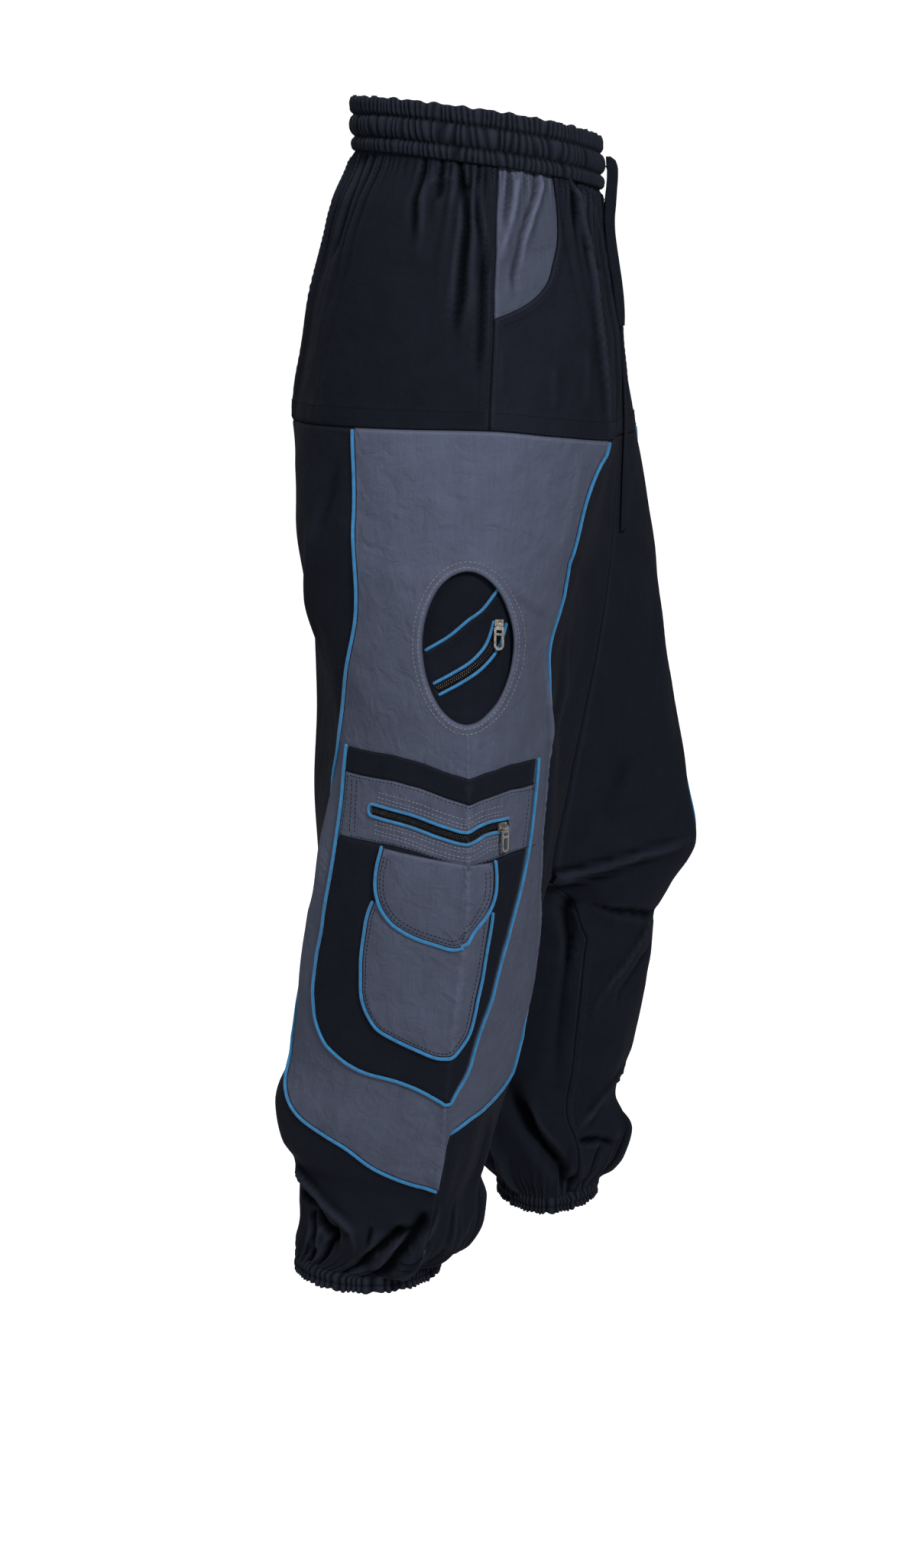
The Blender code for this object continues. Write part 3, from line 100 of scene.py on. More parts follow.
# Each level of a half: height, foremost x and y, outermost x and y, rearmost x and y, how far its inner
# side is from the centre, and how round the front and the back are
HIP_ROWS = (
    (22, 35, -104, 130, -4, 35, 103, 0, 2.0, 2.0),
    (-22, 35, -106, 130, -4, 35, 101, 0, 2.0, 2.0),
    (-68, 42, -110, 147, -3, 42, 118, 0, 2.0, 2.0),
    (-124, 50, -119, 166, 0, 48, 132, 0, 2.0, 2.0),
    (-173, 56, -127, 179, 2, 52, 142, 0, 2.0, 2.0),
)
SECTIONS = {
    RIGHT: HIP_ROWS + (
        (-245, 62, -129, 193, 5, 56, 153, 0, 2.0, 2.0),
        (-323, 80, -115, 205, 0, 68, 152, 0, 1.9, 2.0),
        (-381, 95, -100, 213, -8, 88, 142, 0, 1.75, 1.9),
        (-451, 112, -84, 219, -15, 120, 122, 0, 1.6, 1.7),
        (-517, 122, -80, 223, -20, 140, 107, 0, 1.4, 1.5),
        (-624, 122, -75, 227, -20, 150, 125, 0, 1.35, 1.45),
        (-735, 116, -66, 224, -10, 125, 147, 28, 1.4, 1.5),
        (-821, 112, -51, 218, 0, 116, 157, 26, 1.45, 1.6),
        (-872, 110, -36, 211, 3, 112, 176, 28, 1.5, 1.7),
        (-905, 109, -26, 203, 8, 111, 171, 32, 1.6, 1.8),
        (-930, 108, -18, 196, 12, 110, 154, 36, 1.7, 1.8),
        (-979, 106, -13, 190, 25, 108, 153, 36, 2.0, 2.0),
        (-1010, 104, 3, 172, 60, 106, 157, 44, 2.0, 2.0),
        (-1024, 104, 23, 164, 91, 104, 158, 48, 2.0, 2.0),
        (-1045, 104, 23, 164, 91, 104, 158, 48, 2.0, 2.0),
    ),
    LEFT: HIP_ROWS + (
        (-245, 72, -139, 193, -5, 56, 153, 0, 2.0, 2.0),
        (-313, 88, -150, 205, -15, 64, 153, 0, 1.9, 2.0),
        (-377, 100, -160, 212, -30, 72, 151, 0, 1.8, 1.9),
        (-490, 108, -176, 220, -60, 80, 149, 0, 1.6, 1.7),
        (-600, 112, -196, 223, -80, 84, 140, 0, 1.5, 1.6),
        (-668, 113, -208, 224, -84, 90, 120, 0, 1.5, 1.6),
        (-713, 113, -183, 222, -80, 104, 70, 24, 1.5, 1.6),
        (-747, 113, -168, 220, -72, 110, 45, 27, 1.5, 1.6),
        (-797, 113, -163, 217, -66, 113, 38, 26, 1.5, 1.6),
        (-879, 113, -151, 209, -60, 113, 34, 28, 1.6, 1.7),
        (-936, 113, -131, 200, -56, 113, 28, 32, 1.8, 1.8),
        (-972, 113, -142, 198, -60, 113, 24, 32, 2.0, 2.0),
        (-1003, 113, -133, 190, -62, 113, 12, 38, 2.0, 2.0),
        (-1030, 113, -115, 170, -62, 113, -10, 52, 2.0, 2.0),
        (-1060, 113, -110, 164, -62, 113, -14, 56, 2.0, 2.0),
    ),
}
# Large folds of the solids: side, top and low places, half width, how far out and back
FORM_FOLDS = ((RIGHT, -14, -530, -14, -650, 34, 0, 9), (RIGHT, 192, -565, 192, -655, 22, 0, -9))

FRONT_SEAM = ((12, -260), (19, -284), (24, -321), (24, -360), (19.5, -400), (18, -440), (11, -475),
              (-3, -515), (-8, -560), (-10, -610), (-11, -660), (-11, -710), (-10, -745), (-4, -785),
              (8, -818), (24, -836), (45, -844), (62, -849), (76, -858), (83, -872), (87, -893), (90, -915))
BACK_SEAM = ((122, -245), (122, -283), (123, -321), (125, -357), (130, -400), (140, -440), (152, -476),
             (166, -515), (180, -556), (187, -600), (189, -650), (188.5, -690), (186, -740), (181, -790),
             (173, -828), (160, -853), (142, -872), (126, -884), (113, -902), (102, -911), (90, -915))
LEFT_FRONT_SEAM = FRONT_SEAM[:6] + ((15, -475), (13, -515), (12, -560), (12, -610), (12, -660), (12, -710),
                                    (12, -745), (14, -785), (20, -818), (32, -836), (48, -844)) + FRONT_SEAM[-5:]
POCKET_MOUTH = ((-22, 45), (-49, 43), (-82, 44), (-100, 47), (-116, 50), (-130, 56), (-139, 62),
                (-145, 67), (-152, 74))
FACING_LAP = 9.0  # how far a pocket's facing runs on under its mouth

# Outlines on the right side, as seen square on from the side: how far back, and the height
HOLE_MIDDLE, HOLE_HALF = (-16.5, -423.5), (37.5, 63.5)
CARGO_REAR = ((93, -519), (100, -573), (110, -636), (118, -678), (126, -720), (129, -755),
              (127, -777), (119, -790), (104, -801), (80, -808), (48, -810), (23, -816), (6, -824))
CARGO_FRONT = ((-2, -827), (-8, -818), (-17, -802), (-22, -786), (-28, -765), (-37, -737),
               (-44, -710), (-52, -676), (-60, -640), (-66, -600), (-70, -560), (-73, -530))
STRIP_TOP = ((93, -519), (48, -519), (24, -522), (0, -528), (-20, -532), (-36, -529), (-54, -527), (-73, -530))
STRIP_DEPTH, ZIP_PANEL_DEPTH = 22.0, 78.0  # below the strip's top
FLAP = ((58, -599), (63, -620), (63, -640), (59, -652), (50, -664), (36, -672), (10, -679),
        (-11, -681), (-18, -677), (-24, -668), (-35, -654), (-41, -641), (-43, -622), (-42, -607))
PATCH = ((64, -644), (70, -657), (75, -680), (79, -717), (79, -738), (74, -753), (65, -764),
         (51, -770), (23, -778), (3, -782), (-6, -780), (-13, -773), (-20, -761), (-24, -745),
         (-27, -728), (-31, -708), (-35, -685), (-38, -664), (-40, -648))
ZIP_LINE = ((67, -569), (33, -573), (2, -580), (-19, -583), (-33, -578), (-51, -578))
ZIP_HALF_GAP, ZIP_TAPE_HALF = 5.2, 3.4  # from a zip's middle to its pipings and to its tape's edges
INNER_EDGE = ((19, -427), (-2, -414), (-16, -402), (-28, -393), (-35, -384), (-42, -374))
INNER_ZIP_LINE = ((9, -459), (-9, -449), (-25, -438), (-35, -426), (-40, -413), (-42, -405))
# The backing behind the oval hole: how far it runs past the hole, its dish, and its gap from the panel
BAG_MARGIN, BAG_DEPTH, BAG_GAP = 11.0, 12.0, 0.9

# The drawstring, as in the solids: the near end x, y, z and turn, the far end off the centre and height
TAPE_WIDE, TAPE_THICK, TAPE_LIFT = 10.0, 1.2, 2.4
NEAR_END = ((-2, -114.2, -25, 0), (-2, -117.4, -25, 0), (-2, -119.5, -29, 0), (-2, -120, -36, 0),
            (-2, -119.4, -48, 8), (-1.5, -118.9, -60, 18), (-1, -118.4, -72, 30), (1, -118.8, -84, 32),
            (4, -120.4, -97, 32), (6, -122.8, -112, 32), (7, -125.5, -128, 35), (7, -127.7, -143, 42),
            (7, -129.4, -158, 55), (7, -130.4, -166, 70))
FAR_EXIT = ((17, -111.5, -27), (17, -115, -29), (17.5, -115, -38), (17.5, -113.5, -52))
FAR_END = ((18, -58), (18, -80), (18, -115), (17, -150), (14, -185), (11, -220), (11, -255), (11, -290),
           (12, -320), (13, -350))

# How deep a fold of height 1 is, and the pressed crease of the side panels, which starts at CREASE_START
FOLD_DEPTH, CREASE_DEPTH, CREASE_START = 2.3, 3.0, -478.0
LOW_OPEN = -1015.0  # folds that end below this run on into the ankle elastic
# Gathers: how many small pleats an ankle has, how wide small and wide ones are at the waist, and where they end
ANKLE_PLEATS = 66
SMALL_GATHER, WIDE_GATHER = 5.6, 13.5
WAIST_REACH, ANKLE_REACH = -260.0, -880.0

# Soft ridges and troughs laid one by one: side, half width, height, and the line as (ring angle, height)
DRAPE = (
    # hips, right
    (RIGHT, 5.0, -3.8, ((92, -22), (89, -50), (86.5, -77), (87, -100), (87, -134), (90, -182))),
    (RIGHT, 4.0, -2.4, ((100, -18), (100, -37), (99, -62))),
    (RIGHT, 4.5, -2.0, ((108, -18), (110, -59), (106, -100))),
    (RIGHT, 3.5, 1.2, ((85, -27), (84.5, -66), (84, -96), (84, -144))),
    (RIGHT, 7.0, 1.8, ((108, -34), (106, -58), (104, -87), (103, -130))),
    (RIGHT, 3.5, -1.6, ((92, -38), (89, -42), (85, -41))),
    (RIGHT, 6.0, 2.0, ((62, -22), (64, -28), (66, -55), (70, -80), (73, -106), (74, -132))),
    (RIGHT, 4.5, 2.2, ((52, -24), (52, -34), (57, -60), (62, -87), (64, -105))),
    (RIGHT, 3.0, -1.8, ((68, -20), (69, -52), (70, -76), (74, -94))),
    (RIGHT, 4.0, -2.6, ((28, -20), (24, -40), (20, -62))),
    (RIGHT, 3.5, -2.2, ((14, -20), (4, -44))),
    (RIGHT, 3.5, -2.0, ((-6, -20), (-26, -42))),
    (RIGHT, 5.0, 1.0, ((32, -160), (33, -206), (34, -245))),
    (RIGHT, 4.0, 0.8, ((50, -183), (49, -243))),
    (RIGHT, 4.0, 0.8, ((71, -168), (71, -225))),
    (RIGHT, 5.0, -1.0, ((27, -84), (18, -97), (-8, -98))),
    (RIGHT, 6.0, 2.0, ((20, -33), (-5, -70), (-16, -130), (-14, -210), (-12, -300))),
    (RIGHT, 5.0, -2.2, ((-8, -20), (-18, -60), (-26, -110))),
    # hips, left
    (LEFT, 4.5, -3.2, ((98, -18), (92, -55), (88, -95), (90, -150))),
    (LEFT, 5.0, -2.8, ((112, -18), (110, -62), (113, -118))),
    (LEFT, 7.0, 2.2, ((34, -20), (28, -79), (24, -150), (22, -240))),
    (LEFT, 5.0, -2.4, ((16, -18), (10, -62), (8, -120))),
    (LEFT, 5.0, 1.8, ((60, -24), (64, -70), (69, -125))),
    (LEFT, 7.0, 1.8, ((-6, -30), (-14, -90), (-18, -170), (-20, -260))),
    # seat, both halves
    (BOTH, 6.0, -2.6, ((150, -18), (147, -60), (150, -120))),
    (BOTH, 6.0, -2.4, ((178, -18), (182, -70), (180, -140))),
    (BOTH, 7.0, 2.0, ((165, -20), (164, -90), (168, -190), (172, -300))),
    (BOTH, 8.0, 2.0, ((205, -20), (206, -100), (203, -210), (200, -330))),
    # right leg
    (RIGHT, 6.5, -0.85, ((66, -366), (52, -386), (38, -400), (24, -410))),
    (RIGHT, 6.0, 0.7, ((70, -354), (56, -376), (42, -391), (28, -400))),
    (RIGHT, 8.0, 1.0, ((34, -262), (32, -300), (34, -345), (40, -380))),
    (RIGHT, 8.0, 0.8, ((84, -262), (80, -300), (78, -340))),
    (RIGHT, 6.0, -0.6, ((36, -356), (0, -372), (-30, -392))),
    (RIGHT, 6.0, 2.2, ((27, -385), (27, -415), (25, -440), (18, -475), (5, -515), (0, -560), (-2, -610), (-3, -660),
                       (-3, -710), (-1, -745), (6, -790))),
    (RIGHT, 9.0, 3.0, ((-9, -405), (-16, -482), (-22, -555), (-22, -625), (-20, -700))),
    (RIGHT, 9.0, 2.2, ((137, -300), (150, -355), (168, -409), (186, -470))),
    (RIGHT, 8.0, -1.8, ((128, -262), (134, -300), (146, -350))),
    (RIGHT, 14.0, -2.6, ((8, -835), (0, -880), (10, -930), (26, -980))),
    (RIGHT, 10.0, 3.0, ((30, -850), (26, -900), (30, -950), (34, -1000))),
    (RIGHT, 5.0, -4.6, ((166, -950), (150, -958), (139, -972), (131, -988), (128, -1008))),
    (RIGHT, 4.0, -4.2, ((152, -953), (151, -972), (148, -992), (142, -1003), (140, -1022))),
    (RIGHT, 4.5, -4.2, ((134, -961), (132, -978), (134, -993), (132, -1006), (131, -1022))),
    (RIGHT, 4.0, 2.0, ((142, -966), (142, -987), (138, -1006))),
    (RIGHT, 6.0, -7.5, ((99, -953), (103, -964), (107, -981), (108, -999), (104, -1022))),
    (RIGHT, 6.0, -7.5, ((93, -932), (95, -951), (97, -965), (98, -985), (92, -1008), (80, -1024))),
    (RIGHT, 5.0, 2.0, ((56, -930), (54, -964), (56, -990))),
    (RIGHT, 7.0, -4.5, ((64, -985), (54, -1002), (46, -1024))),
    (RIGHT, 7.0, -4.0, ((24, -978), (20, -1000), (18, -1024))),
    (RIGHT, 7.0, -3.6, ((-12, -960), (-14, -990), (-12, -1024))),
    (RIGHT, 8.0, 3.2, ((4, -930), (4, -975), (2, -1022))),
    (RIGHT, 9.0, -4.4, ((188, -930), (194, -970), (192, -1022))),
    (RIGHT, 9.0, 3.4, ((205, -900), (210, -960), (208, -1022))),
    (RIGHT, 9.0, -4.4, ((236, -900), (230, -960), (228, -1022))),
    (RIGHT, 10.0, 3.6, ((262, -880), (256, -950), (252, -1022))),
    (RIGHT, 8.0, -3.6, ((276, -940), (278, -985), (276, -1022))),
    # left leg
    (LEFT, 9.0, -2.2, ((-2, -772), (-18, -790), (-34, -812), (-42, -850))),
    (LEFT, 5.0, -2.0, ((-62, -709), (-52, -716), (-44, -725), (-24, -736), (10, -748))),
    (LEFT, 8.0, -5.0, ((-58, -700), (-69, -722), (-76, -750), (-74, -785))),
    (LEFT, 8.0, -2.2, ((-66, -712), (-74, -745), (-76, -800), (-76, -860), (-74, -930))),
    (LEFT, 14.0, -9.0, ((236, -895), (250, -925), (268, -957), (290, -990), (306, -1036))),
    (LEFT, 9.0, 4.2, ((-106, -890), (-90, -930), (-80, -955), (-62, -1000), (-58, -1036))),
    (LEFT, 8.0, -5.0, ((218, -960), (222, -989), (212, -1036))),
    (LEFT, 7.0, 3.0, ((226, -950), (238, -990), (240, -1036))),
    (LEFT, 5.0, -2.0, ((-63, -963), (-42, -968), (-20, -984))),
    (LEFT, 5.0, -3.6, ((-35, -972), (-40, -987), (-40, -1002), (-37, -1036))),
    (LEFT, 7.0, -3.4, ((-16, -975), (-18, -1000), (-20, -1036))),
    (LEFT, 8.0, 3.0, ((0, -950), (0, -990), (2, -1036))),
    (LEFT, 8.0, -4.2, ((20, -960), (22, -1000), (24, -1036))),
    (LEFT, 9.0, 3.4, ((52, -930), (50, -985), (48, -1036))),
    (LEFT, 9.0, -4.6, ((78, -940), (76, -990), (74, -1036))),
    (LEFT, 9.0, 3.4, ((104, -925), (106, -985), (104, -1036))),
    (LEFT, 9.0, -4.6, ((132, -930), (134, -985), (132, -1036))),
    (LEFT, 9.0, 3.2, ((160, -940), (162, -990), (160, -1036))),
    (LEFT, 8.0, -4.2, ((186, -940), (188, -990), (186, -1036))),
    (LEFT, 10.0, 2.6, ((140, -300), (152, -360), (170, -420))),
    (LEFT, 10.0, 2.6, ((-6, -420), (-12, -500), (-14, -590))),
    (LEFT, 12.0, -2.6, ((-28, -560), (-34, -620), (-30, -660))),
)

# Crisp folds, with a narrow crest or crease: the same columns
CREASED = (
    (RIGHT, 6.5, 3.6, ((35, -22), (28, -53), (24, -84), (24, -123), (24, -157), (22, -193), (19, -222), (16, -250),
                       (16, -300))),
    (RIGHT, 3.4, -2.6, ((83, -22), (84, -48), (83, -70), (80, -92))),
    (RIGHT, 4.0, 1.3, ((82, -33), (78, -90), (78, -120))),
    (RIGHT, 3.4, -2.0, ((78.5, -82), (78.5, -143), (78.5, -217))),
    (RIGHT, 3.0, 1.0, ((108, -46), (98, -38), (93, -40), (90, -47))),
    (RIGHT, 3.0, -2.2, ((55, -20), (55, -41), (59, -60), (62, -79), (64, -96), (66, -114), (66, -144))),
    (RIGHT, 9.0, 4.6, ((176, -915), (160, -933), (146, -942), (135, -954), (128, -960), (122, -968), (119, -985),
                       (115, -1008))),
    (RIGHT, 2.6, -1.6, ((115, -958), (114, -988))),
    (RIGHT, 4.0, 2.0, ((98, -1014), (103, -992), (101, -966))),
    (RIGHT, 7.0, 4.2, ((85, -916), (85, -937), (88, -952), (91, -966), (88, -986), (80, -1009), (66, -1026))),
    (LEFT, 7.0, 2.6, ((34, -22), (28, -79), (24, -150), (22, -240), (18, -310))),
    (LEFT, 6.0, 3.4, ((-70, -692), (-60, -686), (-40, -677), (-26, -667), (0, -660))),
    (LEFT, 5.0, 1.1, ((-50, -690), (-59, -709), (-63, -741), (-63, -838), (-60, -923), (-56, -980), (-50, -1030))),
    (LEFT, 6.0, 2.9, ((-8, -728), (-18, -746), (-34, -776), (-48, -799), (-55, -820), (-54, -852))),
    (LEFT, 6.0, 2.6, ((4, -902), (-28, -921), (-40, -940), (-55, -952), (-64, -958))),
)
FOLDS = [(False, *row) for row in DRAPE] + [(True, *row) for row in CREASED]


# Form

def hermite(values, tangents, index, step, part):
    """The cubic from each indexed row to the next one, with the given tangents."""
    return (values[index] * (2 * part**3 - 3 * part**2 + 1)
            + tangents[index] * step * (part**3 - 2 * part**2 + part)
            + values[index + 1] * (3 * part**2 - 2 * part**3)
            + tangents[index + 1] * step * (part**3 - part**2))


def runs_of(points):
    """How far along a line each of its points is."""
    return np.concatenate([[0], np.cumsum(np.linalg.norm(np.diff(points, axis=0), axis=1))])


def unit(vectors):
    return vectors / np.maximum(np.linalg.norm(vectors, axis=-1, keepdims=True), 1e-9)


def turned_left(flat):
    return np.stack([-flat[:, 1], flat[:, 0]], 1)


def smooth_rows(rows, at):
    """Values of a table's later columns where its first column is `at`, without overshoot."""
    table = np.array(sorted(rows), float)
    keys, values = table[:, 0], table[:, 1:]
    at = np.clip(np.asarray(at, float), keys[0], keys[-1])
    steps = np.diff(keys)
    slopes = np.diff(values, axis=0) / steps[:, None]
    tangents = np.zeros_like(values)
    same_way = slopes[:-1] * slopes[1:] > 0
    both = np.where(same_way, slopes[:-1] + slopes[1:], 1.0)
    tangents[1:-1] = np.where(same_way, 2 * slopes[:-1] * slopes[1:] / both, 0.0)
    tangents[0], tangents[-1] = slopes[0], slopes[-1]
    index = np.clip(np.searchsorted(keys, at) - 1, 0, len(keys) - 2)
    part = ((at - keys[index]) / steps[index])[..., None]
    return hermite(values, tangents, index, steps[index][..., None], part)


def through(points, count, spread=None):
    """A smooth line of `count` evenly spaced points through a few; the first `spread` columns give its length."""
    points = np.asarray(points, float)
    runs = runs_of(points[:, :spread])
    tangents = np.gradient(points, runs, axis=0)
    at = np.linspace(0, runs[-1], count)
    index = np.clip(np.searchsorted(runs, at) - 1, 0, len(runs) - 2)
    step = (runs[index + 1] - runs[index])[:, None]
    return hermite(points, tangents, index, step, ((at - runs[index])[:, None]) / step)


def ease(x):
    x = np.clip(x, 0, 1)
    return x * x * (3 - 2 * x)


def bell(distance, width):
    return np.exp(-((distance / width) ** 2))


def arc(start, end, middle, sine, cosine, roundness):
    """A quarter of a superellipse from `start` (x, y) to `end`, about the corner `middle`."""
    power = 2 / roundness
    x = middle[0] + (end[0] - middle[0]) * sine**power
    y = middle[1] + (start[1] - middle[1]) * cosine**power
    return x, y


def near_line(u, v, line):
    """How far places are from a line, and which share of its length the nearest point is along it."""
    line = np.asarray(line, float)
    runs = runs_of(line)
    best = np.full(u.shape, np.inf)
    share = np.zeros(u.shape)
    for k in range(len(line) - 1):
        run = line[k + 1] - line[k]
        part = np.clip(((u - line[k, 0]) * run[0] + (v - line[k, 1]) * run[1]) / (run @ run), 0, 1)
        off = np.hypot(u - line[k, 0] - part * run[0], v - line[k, 1] - part * run[1])
        closer = off < best
        best = np.where(closer, off, best)
        share = np.where(closer, (runs[k] + part * (runs[k + 1] - runs[k])) / runs[-1], share)
    return best, share


def wrapped(phi):
    """Ring angles within one turn: just past the inseam, on either panel, is the same place."""
    return np.where(phi > RING_END, phi - 360, np.where(phi < RING_START, phi + 360, phi))


def skin(side, phi, z):
    """The outer face of the solids' cloth on one half, at ring angle `phi` and height `z`."""
    phi, z = np.broadcast_arrays(np.asarray(phi, float), np.asarray(z, float))
    front_x, front_y, side_x, side_y, back_x, back_y, inner_x, front_round, back_round = np.moveaxis(
        smooth_rows(SECTIONS[side], z), -1, 0)
    centre_front, centre_back = np.moveaxis(smooth_rows(CENTRE_ROWS, z), -1, 0)
    crotch_middle = (centre_front + centre_back) / 2
    phi = wrapped(phi)
    sine, cosine = np.abs(np.sin(np.radians(phi))), np.abs(np.cos(np.radians(phi)))
    leg = np.sqrt(np.clip((CROTCH - z) / ARCH_DEPTH, 0, 1))
    front = arc((front_x, front_y), (side_x, side_y), (front_x, side_y), sine, cosine, front_round)
    back = arc((back_x, back_y), (side_x, side_y), (back_x, side_y), sine, cosine, back_round)
    places = []
    for start, seam_y, turn in (((front_x, front_y), centre_front, -phi), ((back_x, back_y), centre_back, phi - 180)):
        reach = np.clip(turn / 45, 0, 1)
        beyond = np.clip((turn - 45) / 45, 0, 1)
        trunk_x = start[0] * (1 - reach)
        trunk_y = start[1] + (seam_y - start[1]) * reach**CENTRE_CURVE + (crotch_middle - seam_y) * beyond
        leg_x, leg_y = arc(start, (inner_x, side_y), (start[0], side_y), sine, cosine, INNER_ROUND)
        places.append((trunk_x * (1 - leg) + leg_x * leg, trunk_y * (1 - leg) + leg_y * leg))
    zones = [phi < 0, phi <= 90, phi <= 180]
    x = np.select(zones, [places[0][0], front[0], back[0]], places[1][0])
    y = np.select(zones, [places[0][1], front[1], back[1]], places[1][1])
    for fold_side, phi_top, z_top, phi_low, z_low, half_width, out, back_by in FORM_FOLDS:
        if fold_side == side:
            near, _ = near_line(phi * DEGREE, z, ((phi_top * DEGREE, z_top), (phi_low * DEGREE, z_low)))
            part = bell(near, half_width)
            x, y = x + out * part, y + back_by * part
    tilted = np.clip((z - TILT_ENDS) / (YOKE_TOP - TILT_ENDS), 0, 1)
    return np.stack([side * (x + CENTRE_GAP), y, z + smooth_rows(WAIST_RISE, y)[..., 0] * tilted], -1)


def outward(side, phi, z):
    """The direction straight out of the cloth at a place on it."""
    phi, z = np.broadcast_arrays(np.asarray(phi, float), np.asarray(z, float))
    low = np.where(z >= CROTCH, CENTRE_FRONT, -180)
    high = np.where(z >= CROTCH, CENTRE_BACK, 360)
    across = skin(side, np.minimum(phi + 1.5, high), z) - skin(side, np.maximum(phi - 1.5, low), z)
    along = skin(side, phi, z + 2) - skin(side, phi, z - 2)
    normal = np.cross(across, along) * side
    on_centre = (z >= CROTCH - 0.3) & ((phi <= CENTRE_FRONT + 0.2) | (phi >= CENTRE_BACK - 0.2))
    normal[..., 0] = np.where(on_centre, 0, normal[..., 0])
    normal[on_centre & (z <= CROTCH + 0.3)] = (0, 0, -1)
    normal[..., 2] = np.where(z < ANKLE_TOP[side] + 1, 0, normal[..., 2])
    return unit(normal)


def pleat(turns, sharp):
    """Rounded pleats with narrow creases between them, from 0 in a crease to 1 on a crest."""
    return np.abs(np.sin(math.pi * turns)) ** sharp


def ankle_turns(side, phi):
    """How many small pleats of the ankle elastic lie before a ring angle."""
    turn = np.radians(phi)
    return (ANKLE_PLEATS * phi / 360 + 0.55 * np.sin(3 * turn + side) + 0.4 * np.sin(7 * turn + 1)
            + 0.25 * np.sin(13 * turn + 2 * side))


def gathers(side, phi, z):
    """Fine uneven pleats that fan down from the waist and up from the ankle elastic."""
    u = phi * DEGREE
    # where the two halves meet at the centre the pleats agree
    apart = ease((phi - CENTRE_FRONT) / 25) * ease((CENTRE_BACK - phi) / 25)
    wander = 0.9 * np.sin(u / 31 + 0.7) + 0.5 * np.sin(u / 12.5 + 1.9) + apart * side * 0.8 * np.sin(u / 47 + 1.1)
    depth = np.clip(YOKE_TOP - z, 0, 400)
    spread = depth * 0.02 * np.sin(u / 60)
    small = pleat((u + spread * 3) / SMALL_GATHER + wander, 0.8) - 0.6
    wide = pleat((u + spread * 6) / WIDE_GATHER + wander * 0.8 + 0.3, 0.85) - 0.6
    uneven = 0.55 + 0.45 * np.sin(u / 13 + side * apart + 0.4) * np.sin(u / 29 + 1)
    calm = 1 - 0.7 * ease((phi - 46) / 5) * ease((76 - phi) / 3)
    waist = (2.8 * small * np.exp(-depth / (12 + 8 * uneven))
             + 7.0 * calm * wide * uneven * np.exp(-depth / (30 + 55 * uneven)))
    waist = np.where(z > WAIST_REACH, waist * (0.4 + 0.6 * ease(depth / 9)), 0)
    rise = np.clip(z - ANKLE_TOP[side], 0, 400)
    turns = ankle_turns(side, phi)
    turn = np.radians(phi)
    strength = 0.6 + 0.4 * np.sin(5 * turn + 1 + side)
    small = (pleat(turns, 0.75) - 0.6) * 4.0 * np.exp(-rise / (13 + 8 * strength))
    middle = (pleat(turns / 2 + 0.22, 0.8) - 0.6) * 6.0 * strength * np.exp(-rise / (26 + 18 * strength))
    broad = np.sin(2 * math.pi * turns / 7 + 1.2 * np.sin(2 * turn + side * 0.8)) * 2.4 * np.exp(-rise / 48)
    ankle = np.where(z < ANKLE_REACH, small + middle + broad * ease(rise / 10), 0)
    return waist + ankle


def crumple(side, phi, z):
    """Shallow creases that run every way over the cloth."""
    u = phi * DEGREE
    total = 0.0
    for run_u, run_z, bend, shift, deep in ((31, 47, 23, 0.3, 0.95), (-53, 29, 37, 1.9, 0.85), (19, -61, 29, 4.1, 0.7),
                                            (-23, -19, 17, 2.6, 0.45)):
        waver = 1.3 * np.sin(u / bend + 0.7 * shift * side) + 0.9 * np.sin(z / (bend * 1.3) + shift)
        patch = 0.5 + 0.5 * np.sin(u / 47 + z / 71 + shift * 2 + side)
        wave = np.sin(u / run_u + z / run_z + shift + waver)
        total = total + deep * (0.6 - np.sqrt(wave * wave + 0.02)) * patch
    return total


